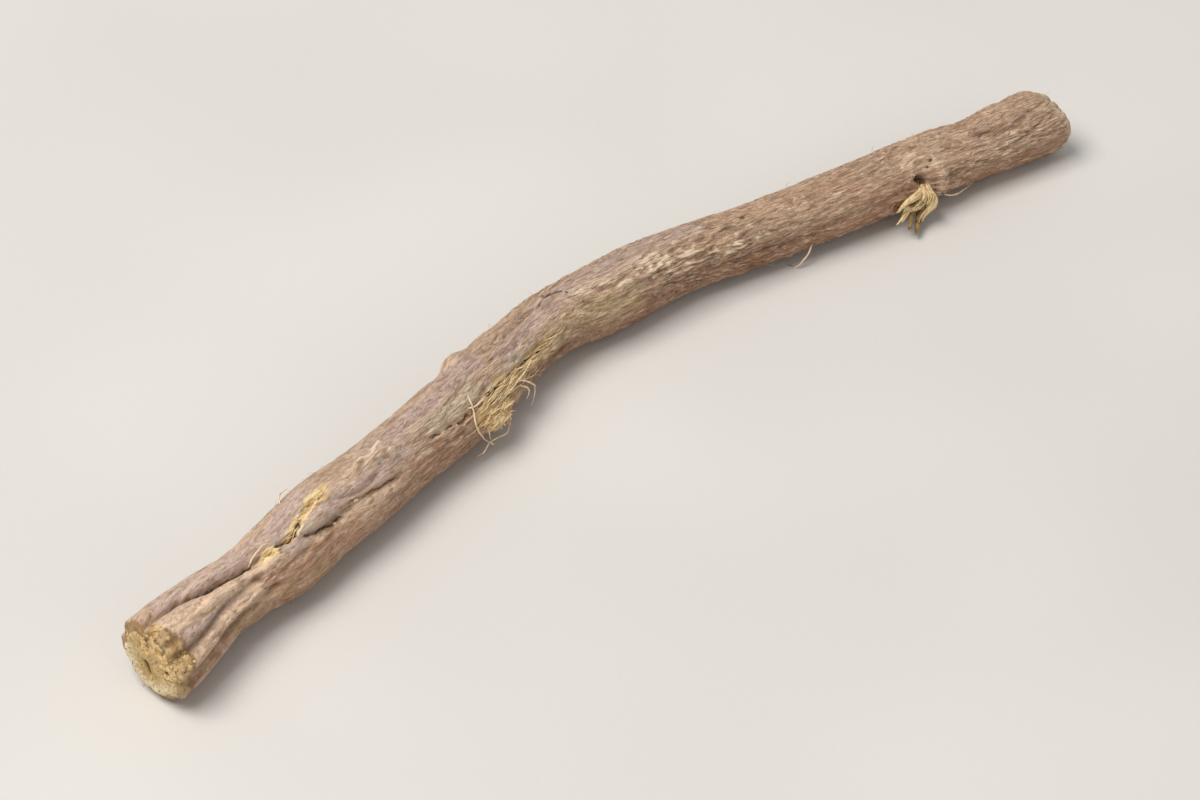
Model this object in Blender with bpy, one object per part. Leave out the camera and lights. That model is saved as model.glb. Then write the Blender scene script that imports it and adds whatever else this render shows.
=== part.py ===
"""A cut stick of licorice root lying on a table, as one solid, in metres with +Z up.

+X runs from the flared cut end to the far cut end. A place on the bark is given by how far along the
root it is, in millimetres from the flared end, and by its turn in degrees round the root: 0 is the
side towards +Y, 90 the top, 180 the side towards -Y and 270 the underside.
"""

import math

import bmesh
import bpy
import numpy as np
from mathutils import Vector

MM = 0.001

# Driving dimensions, in millimetres

# The middle of the root from the flared end to the far end: x, y, z and radius.
CENTRELINE = (
    (-79.7, -5.0, 5.75, 5.85),
    (-74.8, -3.5, 5.75, 5.6),
    (-69.8, -2.1, 5.75, 5.1),
    (-63.3, -1.0, 5.7, 4.6),
    (-54.4, 0.5, 5.7, 5.15),
    (-49.1, 2.0, 5.75, 5.25),
    (-40.0, 3.8, 5.65, 5.0),
    (-30.8, 6.0, 5.45, 4.8),
    (-22.0, 7.9, 5.35, 5.0),
    (-13.4, 10.4, 5.25, 4.9),
    (-4.3, 13.2, 5.2, 4.5),
    (3.3, 14.5, 5.3, 4.6),
    (10.4, 14.3, 5.35, 4.95),
    (17.0, 14.4, 5.3, 4.95),
    (24.1, 14.1, 5.15, 4.65),
    (37.4, 12.1, 5.0, 4.55),
    (50.4, 10.3, 4.9, 4.6),
    (64.9, 8.9, 4.8, 4.6),
    (71.3, 7.8, 4.7, 4.45),
    (78.9, 7.1, 4.7, 4.7),
    (85.6, 6.3, 4.85, 4.75),
)
NEAR_CUT_NORMAL = (-0.997, -0.05, -0.06)
FAR_CUT_NORMAL = (0.992, 0.10, 0.08)
CUT_REACH = 12.0
MEAN_RADIUS = 4.9
SLOPE_STEP = 0.5

# Rings of points along the root: from, to and how many.
RING_SPANS = (
    (0.0, 30.0, 17),
    (30.0, 56.0, 11),
    (56.0, 84.0, 15),
    (84.0, 139.0, 22),
    (139.0, 150.0, 10),
    (150.0, 168.0, 9),
)
SIDES = 56
RIM_ROUNDING = 0.55

# The three stretches whose underside touches the surface, from and to along the root, and how deep
# the small flat spot on each is worn.
CONTACTS = ((1.0, 8.0), (89.0, 98.0), (151.0, 161.0))
FLAT_DEPTH = 0.25

# How far the cross-section is from round, as a share of the radius, and the length over which that turns.
OVAL = (0.035, 26.0)
LOBED = (0.022, 17.0)

# Grooves that run along the bark: how many round the root, depth, start angle and length of their patches.
BARK_GROOVES = ((11, 0.42, 0.4, 31.0), (14, 0.3, 2.1, 19.0))
# How the grooves wander round the root: angle, wavelength and start angle.
GROOVE_WANDER = ((0.42, 61.0, 0.9), (0.17, 17.0, 2.6))
# Low lumps between the grooves: height, and the lengths of the two waves that make them.
BARK_LUMPS = (0.13, 5.3, 12.7)

# Furrows, folds and knobs on the bark: height (negative is sunk), half width, and the places (along, turn)
# that the middle of each runs through.
FORMS = {
    "split from the flared end": (-1.0, 0.75, ((-2, 66), (5.2, 80), (11.2, 100), (21.2, 111))),
    "fold above the split": (0.25, 1.4, ((0, 45), (9.2, 70), (15.2, 84))),
    "broad fold beside the split": (0.55, 1.1, ((-1, 104), (7.2, 117), (14.2, 121))),
    "fold behind it": (-0.75, 0.7, ((-1, 150), (6.2, 146), (11.2, 137), (18.2, 134))),
    "second fold": (0.4, 1.0, ((-1, 168), (9.2, 156), (17.2, 150))),
    "third fold": (-0.5, 0.7, ((-1, 186), (9.2, 173), (20.2, 163))),
    "fold at the front of the flare": (0.35, 1.0, ((-1, 204), (11.2, 190))),
    "fold under the flare": (-0.45, 0.8, ((-1, 226), (10.2, 214), (23.2, 208))),
    "fold at the back of the flare": (-0.6, 0.9, ((-1, 12), (8.2, 22), (20.2, 30))),
    "second fold at the back": (-0.55, 0.8, ((-1, 330), (11.2, 322), (25.2, 318))),
    "scar at the end of the split": (0.35, 0.8, ((21.7, 114), (22.7, 113))),
    "torn strip": (-0.45, 0.8, ((23.7, 112), (27.7, 101), (34.2, 92))),
    "crack beside the torn strip": (-0.6, 0.6, ((26.2, 124), (31.2, 141), (36.2, 137), (45.2, 151))),
    "pale forked ridge": (0.3, 0.6, ((40.2, 94), (46.2, 104))),
    "shoulder of the knob": (0.7, 1.5, ((65.2, 48), (66.5, 46))),
    "tail of the knob": (0.3, 1.8, ((66, 47), (73, 52))),
    "furrow below the smooth patch": (-0.35, 0.6, ((52.2, 136), (61.2, 139))),
    "torn hollow": (-0.55, 1.5, ((62.2, 156), (67.2, 152), (78.2, 149))),
    "lip of the torn hollow": (0.75, 1.3, ((62.7, 184), (64.7, 187))),
    "edge of the torn hollow": (0.3, 0.8, ((67.2, 176), (79.2, 166))),
    "dimple past the bend": (-0.35, 0.8, ((96.7, 84), (97.7, 84))),
    "wrinkle past the bend": (-0.3, 0.7, ((98.2, 118), (107.2, 124), (114.2, 120))),
    "long furrow towards the far end": (-0.3, 0.7, ((105.2, 166), (119.2, 172), (135.2, 168))),
    "collar over the rootlet": (0.75, 0.9, ((142.4, 112), (145.8, 128), (147.2, 158), (146.6, 196))),
    "pit beside the rootlet": (-0.8, 0.8, ((143.4, 152), (143.6, 168))),
    "furrow at the back": (-0.5, 0.9, ((35.2, 318), (53.2, 330), (71.2, 322))),
    "second furrow at the back": (-0.45, 0.8, ((83.2, 16), (99.2, 6), (119.2, 14))),
    "rootlet scar at the back": (0.7, 1.3, ((105.2, 336), (106.7, 336))),
    "pit in the scar": (-0.7, 0.6, ((106, 336), (106.2, 336))),
    "furrow at the far end": (-0.35, 0.8, ((151.2, 40), (161.2, 52), (171.2, 48))),
    "swelling under the flare": (0.35, 2.6, ((3, 270), (6, 270))),
    "swelling under the bend": (0.3, 2.6, ((91, 270), (96, 270))),
    "swelling under the far end": (0.35, 2.6, ((154, 270), (158, 270))),
}

# Cut faces, from the rim to the middle: share of the radius, and how far the wood is set back there.
CUT_RINGS = ((0.86, 0.0), (0.6, 0.12), (0.3, 0.05))
RIM_BEVEL = 0.45
TORN_WOOD_DEPTH = 0.6
TORN_WOOD_TURN = 118.0

# Broken rootlet below the collar: where it leaves the bark, and its stump and torn ends, each as
# (start, end, start radius, end radius) with x, y and z from that place.
ROOTLET_PLACE = (143.8, 196.0)
ROOTLET_SIDES = 7
PEG_RINGS = (0.02, 0.35, 0.7, 0.95)
ROOTLET_PIECES = (
    ((0.9, 2.6, 1.1), (-0.7, -0.9, -0.7), 2.2, 1.55),
    ((0.2, 0.6, 0.0), (-4.9, -0.9, 0.1), 1.25, 0.36),
    ((0.1, 0.3, -0.2), (-4.6, -1.0, -1.5), 1.25, 0.36),
    ((0.2, 0.3, -0.5), (-3.2, -1.3, -2.6), 1.25, 0.38),
    ((0.4, 0.4, -0.4), (-1.6, -1.6, -3.0), 1.3, 0.5),
)

BARK_COLOUR = (0.30, 0.21, 0.16, 1.0)
BARK_ROUGHNESS = 0.85


def clear_scene():
    for old in list(bpy.data.objects):
        bpy.data.objects.remove(old, do_unlink=True)


def smooth_curve(knots, values, at):
    """A cubic through the values at the knots, whose slope at each knot comes from its neighbours."""
    slopes = np.gradient(values, knots, axis=0)
    span = np.clip(np.searchsorted(knots, at, side="right") - 1, 0, len(knots) - 2)
    width = (knots[span + 1] - knots[span])[:, None]
    t = (at[:, None] - knots[span][:, None]) / width
    start, end = values[span], values[span + 1]
    rise = end - start
    bend_in = slopes[span] * width - rise
    bend_out = rise - slopes[span + 1] * width
    return start + rise * t + t * (1 - t) * (bend_in * (1 - t) + bend_out * t)


def centreline(along):
    """The middle, the three directions and the radius of the root at each place along it."""
    points = np.array(CENTRELINE)
    steps = np.linalg.norm(np.diff(points[:, :3], axis=0), axis=1)
    knots = np.concatenate([[0.0], np.cumsum(steps)])
    at = np.clip(along, 0.0, knots[-1])
    found = smooth_curve(knots, points, at)
    ahead = smooth_curve(knots, points, np.minimum(at + SLOPE_STEP, knots[-1]))
    behind = smooth_curve(knots, points, np.maximum(at - SLOPE_STEP, 0.0))
    forward = ahead[:, :3] - behind[:, :3]
    forward /= np.linalg.norm(forward, axis=1)[:, None]
    side = np.cross((0.0, 0.0, 1.0), forward)
    side /= np.linalg.norm(side, axis=1)[:, None]
    return found[:, :3], forward, side, np.cross(forward, side), found[:, 3]


def root_length():
    points = np.array(CENTRELINE)[:, :3]
    return float(np.linalg.norm(np.diff(points, axis=0), axis=1).sum())


def form_relief(along, turn):
    """The furrows, folds and knobs, each a smooth trough or ridge round a line on the unrolled bark."""
    relief = np.zeros(np.broadcast(along, turn).shape)
    for height, half_width, places in FORMS.values():
        nearest = np.full(relief.shape, np.inf)
        for (s0, t0), (s1, t1) in zip(places, places[1:]):
            across = MEAN_RADIUS * (np.mod(turn - math.radians(t0) + math.pi, 2 * math.pi) - math.pi)
            run, climb = s1 - s0, MEAN_RADIUS * math.radians(t1 - t0)
            share = np.clip(((along - s0) * run + across * climb) / (run * run + climb * climb), 0.0, 1.0)
            nearest = np.minimum(nearest, np.hypot(along - s0 - share * run, across - share * climb))
        relief += height * np.exp(-((nearest / half_width) ** 2))
    return relief


def bark_relief(along, turn):
    """Long grooves with sharp floors that wander along the root in patches, and low lumps between them."""
    wander = sum(size * np.sin(along / length * 2 * math.pi + start) for size, length, start in GROOVE_WANDER)
    height, short, long = BARK_LUMPS
    relief = height * np.sin(along / short + 2 * turn) * np.sin(along / long - 3 * turn + 1.0)
    for count, depth, start, patch in BARK_GROOVES:
        floor = 1.0 - np.abs(np.sin((count * (turn + wander) + start) / 2))
        patches = 0.55 + 0.45 * np.sin(along * 2 * math.pi / patch + 3 * turn + start)
        relief = relief - depth * patches * floor**1.6
    return relief


def skin(along, turn):
    """Points of the bark at each place along the root (rows) and each turn round it (columns)."""
    middle, forward, side, up, radius = centreline(along)
    s, t = np.meshgrid(along, turn, indexing="ij")
    spread = 1 + OVAL[0] * np.cos(2 * t - s / OVAL[1]) + LOBED[0] * np.cos(3 * t + s / LOBED[1])
    reach = radius[:, None] * spread + form_relief(s, t) + bark_relief(s, t)
    to_end = np.minimum(s, root_length() - s)
    reach -= RIM_ROUNDING * np.clip(1 - to_end / RIM_ROUNDING, 0.0, 1.0) ** 2
    out = np.cos(t)[..., None] * side[:, None, :] + np.sin(t)[..., None] * up[:, None, :]
    slant = np.zeros_like(reach)
    for normal, row, distance in ((NEAR_CUT_NORMAL, 0, s), (FAR_CUT_NORMAL, -1, root_length() - s)):
        normal = np.array(normal)
        lean = -(out[row] @ normal) / (forward[row] @ normal)
        slant += np.clip(1 - distance / CUT_REACH, 0.0, 1.0) ** 2 * lean[None, :] * reach
    return middle[:, None, :] + reach[..., None] * out + slant[..., None] * forward[:, None, :]


def settle(rows, places):
    """Bends the root up or down a little, so that it rests level on its three flat spots."""
    lowest = []
    for start, end in CONTACTS:
        touching = (places >= start) & (places <= end)
        lowest.append(rows[touching, :, 2].min())
    middles = [(start + end) / 2 for start, end in CONTACTS]
    rows[..., 2] -= np.polyval(np.polyfit(middles, lowest, 2), places)[:, None]
    rows[..., 2] = np.maximum(rows[..., 2], FLAT_DEPTH)
    return rows


def ring_places():
    places = [np.linspace(start, end, count, endpoint=False) for start, end, count in RING_SPANS]
    return np.concatenate(places + [[root_length()]])


def cut_rings(rim, inward, torn_depth):
    """Rings of points of a cut face inside its bevelled rim, and its middle point."""
    middle = rim.mean(axis=0)
    turn = np.linspace(0, 2 * math.pi, len(rim), endpoint=False)
    torn = torn_depth * np.clip(np.cos(turn - math.radians(TORN_WOOD_TURN)), 0.0, 1.0)
    rings = []
    for share, set_back in CUT_RINGS:
        sunk = set_back + torn * share - RIM_BEVEL
        rings.append(middle + (rim - middle) * share + inward * sunk[:, None])
    return rings, middle + inward * (CUT_RINGS[-1][1] - RIM_BEVEL)


def solid_from_rings(name, rings, first, last):
    """A closed mesh through the rings, with a point at each end."""
    work = bmesh.new()
    rows = [[work.verts.new(point) for point in ring] for ring in rings]
    for row, following in zip(rows, rows[1:]):
        for i, vert in enumerate(row):
            j = (i + 1) % len(row)
            work.faces.new((vert, row[j], following[j], following[i]))
    for row, tip in ((rows[0], first), (rows[-1], last)):
        point = work.verts.new(tip)
        for i, vert in enumerate(row):
            work.faces.new((vert, row[(i + 1) % len(row)], point))
    bmesh.ops.recalc_face_normals(work, faces=work.faces)
    if work.calc_volume(signed=True) < 0:
        bmesh.ops.reverse_faces(work, faces=work.faces)
    mesh = bpy.data.meshes.new(name)
    work.to_mesh(mesh)
    work.free()
    made = bpy.data.objects.new(name, mesh)
    bpy.context.scene.collection.objects.link(made)
    return made


def make_root():
    turn = np.linspace(0, 2 * math.pi, SIDES, endpoint=False)
    places = ring_places()
    rows = settle(skin(places, turn), places)
    ends = np.array((NEAR_CUT_NORMAL, FAR_CUT_NORMAL))
    near, near_middle = cut_rings(rows[0], -ends[0], TORN_WOOD_DEPTH)
    far, far_middle = cut_rings(rows[-1], -ends[1], 0.0)
    rings = near[::-1] + list(rows) + far
    return solid_from_rings("licorice_root", [ring * MM for ring in rings], near_middle * MM, far_middle * MM)


def tapered_peg(name, start, end, start_radius, end_radius):
    """A short round peg with a blunt tip, for a stump or one torn end of the rootlet."""
    axis = end - start
    forward = axis.normalized()
    side = forward.orthogonal().normalized()
    up = forward.cross(side)
    turn = np.linspace(0, 2 * math.pi, ROOTLET_SIDES, endpoint=False)
    circle = np.outer(np.cos(turn), side) + np.outer(np.sin(turn), up)
    rings = []
    for share in PEG_RINGS:
        radius = start_radius + (end_radius - start_radius) * share
        rings.append(np.array(start + axis * share) + radius * circle)
    return solid_from_rings(name, rings, start, end)


def fuse(root, pieces):
    """Joins the pieces to the root in one closed surface, and removes them."""
    group = bpy.data.collections.new("rootlet pieces")
    bpy.context.scene.collection.children.link(group)
    for piece in pieces:
        bpy.context.scene.collection.objects.unlink(piece)
        group.objects.link(piece)
    union = root.modifiers.new("join", "BOOLEAN")
    union.operation = "UNION"
    union.solver = "EXACT"
    union.operand_type = "COLLECTION"
    union.collection = group
    bpy.context.view_layer.update()
    graph = bpy.context.evaluated_depsgraph_get()
    joined = bpy.data.meshes.new_from_object(root.evaluated_get(graph))
    root.modifiers.clear()
    root.data = joined
    for piece in pieces:
        bpy.data.objects.remove(piece, do_unlink=True)
    bpy.data.collections.remove(group)


def make_rootlet():
    along, turn = ROOTLET_PLACE
    place = skin(np.array([along]), np.array([math.radians(turn)]))[0, 0]
    pieces = []
    for i, (start, end, start_radius, end_radius) in enumerate(ROOTLET_PIECES):
        base, tip = Vector(place + start) * MM, Vector(place + end) * MM
        pieces.append(tapered_peg(f"rootlet_{i}", base, tip, start_radius * MM, end_radius * MM))
    return pieces


def stand_at_origin(root):
    """Puts the middle of the root's footprint at the origin, on the surface it rests on."""
    corners = np.array([vert.co for vert in root.data.vertices])
    low, high = corners.min(axis=0), corners.max(axis=0)
    for vert in root.data.vertices:
        vert.co.x -= (low[0] + high[0]) / 2
        vert.co.y -= (low[1] + high[1]) / 2
        vert.co.z -= low[2]


def bark_material():
    material = bpy.data.materials.new("root bark")
    material.use_nodes = True
    shader = material.node_tree.nodes["Principled BSDF"]
    shader.inputs["Base Color"].default_value = BARK_COLOUR
    shader.inputs["Roughness"].default_value = BARK_ROUGHNESS
    shader.inputs["Metallic"].default_value = 0.0
    return material


def main():
    clear_scene()
    root = make_root()
    fuse(root, make_rootlet())
    stand_at_origin(root)
    root.data.materials.clear()
    root.data.materials.append(bark_material())
    root.data.shade_smooth()
    root.data.set_sharp_from_angle(angle=math.radians(50))


main()
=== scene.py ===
import functools
import math

import bmesh
import bpy
import numpy as np
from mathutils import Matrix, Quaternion, Vector


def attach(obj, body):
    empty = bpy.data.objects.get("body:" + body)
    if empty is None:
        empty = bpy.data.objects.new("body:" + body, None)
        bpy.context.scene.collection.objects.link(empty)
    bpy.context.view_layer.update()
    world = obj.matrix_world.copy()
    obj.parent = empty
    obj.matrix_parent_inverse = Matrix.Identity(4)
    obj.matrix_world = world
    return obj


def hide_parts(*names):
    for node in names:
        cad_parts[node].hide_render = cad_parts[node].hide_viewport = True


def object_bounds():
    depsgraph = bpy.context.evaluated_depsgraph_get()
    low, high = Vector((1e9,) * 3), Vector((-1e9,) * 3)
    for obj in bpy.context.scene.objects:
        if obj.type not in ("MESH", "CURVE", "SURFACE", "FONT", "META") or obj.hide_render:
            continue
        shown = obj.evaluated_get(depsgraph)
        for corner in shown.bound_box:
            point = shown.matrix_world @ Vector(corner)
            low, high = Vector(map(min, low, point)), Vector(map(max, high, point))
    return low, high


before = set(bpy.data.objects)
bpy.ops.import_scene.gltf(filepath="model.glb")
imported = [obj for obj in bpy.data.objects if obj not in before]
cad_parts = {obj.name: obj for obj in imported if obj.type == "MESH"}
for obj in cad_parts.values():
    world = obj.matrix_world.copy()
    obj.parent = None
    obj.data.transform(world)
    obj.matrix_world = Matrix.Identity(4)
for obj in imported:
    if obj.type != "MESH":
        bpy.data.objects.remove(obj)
cad_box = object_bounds()

# A cut stick of dried licorice root. A place on it is given, as in the solid's own source, by how far
# along the root it is, in millimetres from the flared end, and by its turn in degrees round the root:
# 0 is the side towards +Y, 90 the top, 180 the side towards -Y and 270 the underside.

MM = 0.001
NODE = "licorice_root"
BODY = "root"

# Form of the solid, in millimetres

# The middle of the root from the flared end to the far end: x, y, z and radius.
CENTRELINE = (
    (-79.7, -5.0, 5.75, 5.85),
    (-74.8, -3.5, 5.75, 5.6),
    (-69.8, -2.1, 5.75, 5.1),
    (-63.3, -1.0, 5.7, 4.6),
    (-54.4, 0.5, 5.7, 5.15),
    (-49.1, 2.0, 5.75, 5.25),
    (-40.0, 3.8, 5.65, 5.0),
    (-30.8, 6.0, 5.45, 4.8),
    (-22.0, 7.9, 5.35, 5.0),
    (-13.4, 10.4, 5.25, 4.9),
    (-4.3, 13.2, 5.2, 4.5),
    (3.3, 14.5, 5.3, 4.6),
    (10.4, 14.3, 5.35, 4.95),
    (17.0, 14.4, 5.3, 4.95),
    (24.1, 14.1, 5.15, 4.65),
    (37.4, 12.1, 5.0, 4.55),
    (50.4, 10.3, 4.9, 4.6),
    (64.9, 8.9, 4.8, 4.6),
    (71.3, 7.8, 4.7, 4.45),
    (78.9, 7.1, 4.7, 4.7),
    (85.6, 6.3, 4.85, 4.75),
)
NEAR_CUT_NORMAL = (-0.997, -0.05, -0.06)
FAR_CUT_NORMAL = (0.992, 0.10, 0.08)
CUT_REACH = 12.0
MEAN_RADIUS = 4.9
SLOPE_STEP = 0.5
RIM_ROUNDING = 0.55
CONTACTS = ((1.0, 8.0), (89.0, 98.0), (151.0, 161.0))
FLAT_DEPTH = 0.25
OVAL = (0.035, 26.0)
LOBED = (0.022, 17.0)
BARK_GROOVES = ((11, 0.42, 0.4, 31.0), (14, 0.3, 2.1, 19.0))
GROOVE_WANDER = ((0.42, 61.0, 0.9), (0.17, 17.0, 2.6))
BARK_LUMPS = (0.13, 5.3, 12.7)
CUT_RINGS = ((1.0, 0.0), (0.86, 0.0), (0.6, 0.12), (0.3, 0.05), (0.0, 0.05))
RIM_BEVEL = 0.45
TORN_WOOD_DEPTH = 0.6
TORN_WOOD_TURN = 118.0
# The solid's own rings and sides, which set where it stands in the frame.
SOLID_SPANS = (
    (0.0, 30.0, 17),
    (30.0, 56.0, 11),
    (56.0, 84.0, 15),
    (84.0, 139.0, 22),
    (139.0, 150.0, 10),
    (150.0, 168.0, 9),
)
SOLID_SIDES = 56

# Furrows, folds and knobs of the solid: height, half width and the places (along, turn) each runs through.
FORMS = {
    "split from the flared end": (-1.0, 0.75, ((-2, 66), (5.2, 80), (11.2, 100), (21.2, 111))),
    "fold above the split": (0.25, 1.4, ((0, 45), (9.2, 70), (15.2, 84))),
    "broad fold beside the split": (0.55, 1.1, ((-1, 104), (7.2, 117), (14.2, 121))),
    "fold behind it": (-0.75, 0.7, ((-1, 150), (6.2, 146), (11.2, 137), (18.2, 134))),
    "second fold": (0.4, 1.0, ((-1, 168), (9.2, 156), (17.2, 150))),
    "third fold": (-0.5, 0.7, ((-1, 186), (9.2, 173), (20.2, 163))),
    "fold at the front of the flare": (0.35, 1.0, ((-1, 204), (11.2, 190))),
    "fold under the flare": (-0.45, 0.8, ((-1, 226), (10.2, 214), (23.2, 208))),
    "fold at the back of the flare": (-0.6, 0.9, ((-1, 12), (8.2, 22), (20.2, 30))),
    "second fold at the back": (-0.55, 0.8, ((-1, 330), (11.2, 322), (25.2, 318))),
    "scar at the end of the split": (0.35, 0.8, ((21.7, 114), (22.7, 113))),
    "torn strip": (-0.45, 0.8, ((23.7, 112), (27.7, 101), (34.2, 92))),
    "crack beside the torn strip": (-0.6, 0.6, ((26.2, 124), (31.2, 141), (36.2, 137), (45.2, 151))),
    "pale forked ridge": (0.3, 0.6, ((40.2, 94), (46.2, 104))),
    "shoulder of the knob": (0.7, 1.5, ((65.2, 48), (66.5, 46))),
    "tail of the knob": (0.3, 1.8, ((66, 47), (73, 52))),
    "furrow below the smooth patch": (-0.35, 0.6, ((52.2, 136), (61.2, 139))),
    "torn hollow": (-0.55, 1.5, ((62.2, 156), (67.2, 152), (78.2, 149))),
    "lip of the torn hollow": (0.75, 1.3, ((62.7, 184), (64.7, 187))),
    "edge of the torn hollow": (0.3, 0.8, ((67.2, 176), (79.2, 166))),
    "dimple past the bend": (-0.35, 0.8, ((96.7, 84), (97.7, 84))),
    "wrinkle past the bend": (-0.3, 0.7, ((98.2, 118), (107.2, 124), (114.2, 120))),
    "long furrow towards the far end": (-0.3, 0.7, ((105.2, 166), (119.2, 172), (135.2, 168))),
    "collar over the rootlet": (0.75, 0.9, ((142.4, 112), (145.8, 128), (147.2, 158), (146.6, 196))),
    "pit beside the rootlet": (-0.8, 0.8, ((143.4, 152), (143.6, 168))),
    "furrow at the back": (-0.5, 0.9, ((35.2, 318), (53.2, 330), (71.2, 322))),
    "second furrow at the back": (-0.45, 0.8, ((83.2, 16), (99.2, 6), (119.2, 14))),
    "rootlet scar at the back": (0.7, 1.3, ((105.2, 336), (106.7, 336))),
    "pit in the scar": (-0.7, 0.6, ((106, 336), (106.2, 336))),
    "furrow at the far end": (-0.35, 0.8, ((151.2, 40), (161.2, 52), (171.2, 48))),
    "swelling under the flare": (0.35, 2.6, ((3, 270), (6, 270))),
    "swelling under the bend": (0.3, 2.6, ((91, 270), (96, 270))),
    "swelling under the far end": (0.35, 2.6, ((154, 270), (158, 270))),
}

# Fine relief that only this surface has, in the same form.
FINE_FORMS = {
    "floor of the split": (-0.4, 0.24, ((4.5, 78), (8, 90), (11.4, 101), (14.6, 104), (18.5, 107))),
    "edge of the split": (0.16, 0.3, ((5.5, 88), (9.4, 104), (13.2, 109), (17.5, 112))),
    "wrinkle in the broad fold": (-0.22, 0.25, ((3, 123), (7, 128), (12, 128), (16, 126))),
    "wrinkle beside it": (0.18, 0.3, ((5, 139), (10, 132), (16, 127), (22, 127))),
    "long wrinkle in the second fold": (-0.25, 0.25, ((5, 163), (12, 152), (20, 146), (26, 146))),
    "scar": (0.4, 0.32, ((20.5, 112), (20.9, 119), (21.7, 120), (22.2, 113), (21.8, 106), (20.9, 105),
                         (20.5, 112))),
    "pit in the scar": (-0.35, 0.3, ((21.2, 112), (21.5, 113))),
    "gap above the scar": (-0.55, 0.35, ((22.7, 109), (23.9, 112), (24.6, 116))),
    "crack of the torn strip": (-0.45, 0.26, ((24.4, 115), (26, 110), (27.6, 106))),
    "second crack of the strip": (-0.35, 0.24, ((28.6, 98), (31, 95), (33.8, 91))),
    "upper crack": (-0.34, 0.2, ((26.9, 126), (28.6, 132), (30.2, 139), (31.4, 142), (33.8, 144))),
    "lower crack": (-0.16, 0.2, ((35.6, 130), (37.8, 136), (40.1, 141), (42.2, 145), (44.8, 151))),
    "forked ridge": (0.36, 0.32, ((40.1, 94), (43, 100), (46.4, 104))),
    "other tine": (0.36, 0.32, ((40.1, 94), (42.6, 89), (45.8, 84))),
    "handle of the fork": (0.28, 0.3, ((36.5, 99), (38.6, 95), (40.1, 94))),
    "first dash": (-0.3, 0.2, ((53.0, 136.5), (54.4, 137))),
    "second dash": (-0.3, 0.2, ((55.5, 139), (56.6, 140))),
    "third dash": (-0.4, 0.22, ((57.6, 144), (59.4, 142))),
    "rim of the smooth patch": (-0.18, 0.25, ((52, 126), (54.5, 112), (58.5, 106), (62, 104))),
    "crack across the bark": (-0.5, 0.26, ((83.4, 69), (83.6, 75), (84.4, 81))),
    "lip of that crack": (0.14, 0.4, ((82.8, 70), (83, 77))),
    "small pit": (-0.4, 0.3, ((73.6, 115), (73.9, 115))),
    "pit at the top": (-0.55, 0.38, ((96.9, 84), (97.2, 84))),
    "pit in the flecks": (-0.4, 0.32, ((115.3, 99), (115.6, 99))),
    "pale ridge past the bend": (0.24, 0.3, ((84.5, 104), (89, 110), (95, 112), (99, 110), (103, 112))),
    "ridge below it": (0.22, 0.3, ((91, 119), (95, 122), (100, 121), (105, 124), (110, 123))),
    "third ridge": (0.24, 0.3, ((93, 131), (97, 134), (101, 132), (106, 136), (112, 134))),
    "fourth ridge": (0.22, 0.28, ((97, 143), (101, 145), (105, 143), (110, 147), (117, 146))),
    "fifth ridge": (0.2, 0.28, ((95, 153), (100, 156), (104, 154), (109, 157))),
    "sixth ridge": (0.18, 0.28, ((101, 166), (106, 163), (113, 165))),
    "ridge of the torn patch": (0.22, 0.3, ((70, 137), (74, 133), (79, 136))),
    "first gap of the patch": (-0.4, 0.26, ((61.2, 146), (62.6, 144))),
    "second gap": (-0.5, 0.3, ((63.8, 140), (65.2, 142), (67.0, 142))),
    "third gap": (-0.4, 0.26, ((68.0, 144), (69.4, 146))),
    "fourth gap": (-0.45, 0.3, ((67.3, 162), (69.8, 164))),
    "fifth gap": (-0.45, 0.26, ((71.6, 147), (74.8, 146))),
    "sixth gap": (-0.4, 0.24, ((74.2, 153), (77.6, 152))),
    "long strand of the patch": (0.35, 0.32, ((62.8, 166), (65, 162), (66.8, 158), (68.4, 153),
                                              (71.4, 152))),
    "bulge under the patch": (0.5, 1.5, ((62.6, 176), (65, 180))),
    "hollow under the bulge": (-0.45, 0.5, ((61.6, 204), (64, 208))),
    "first pit of the collar": (-0.45, 0.3, ((145.3, 131), (145.5, 131))),
    "second pit of the collar": (-0.4, 0.26, ((144.7, 138), (144.9, 138))),
    "hollow before the collar": (-0.5, 0.5, ((142.9, 152), (143.4, 158), (143.8, 165))),
    "bump over the rootlet": (0.5, 0.7, ((143.0, 170), (143.6, 173))),
    "swelling of the collar": (0.25, 1.6, ((144.2, 122), (146.4, 140), (146.8, 160))),
    "slope behind the collar": (0.35, 1.3, ((148.2, 112), (149.4, 150), (149.0, 192))),
    "filling of the furrow at the far rim": (0.35, 0.8, ((158.5, 50), (169.0, 48))),
}

# How far the fine lines stray to either side, in millimetres, and the waves they do it in: share, waves
# along the root in radians per millimetre, waves round it, and start.
WOBBLE = 0.35
WOBBLE_WAVES = ((0.35, 1.9, 3, 0.0), (0.22, 4.7, 0, 1.3), (0.12, 9.1, 0, 0.0))


def along_forms(half_widths):
    """A stroke of this half width along each of these fine forms, for a tint that follows them."""
    return tuple((half_width, FINE_FORMS[name][2]) for name, half_width in half_widths.items())


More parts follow.
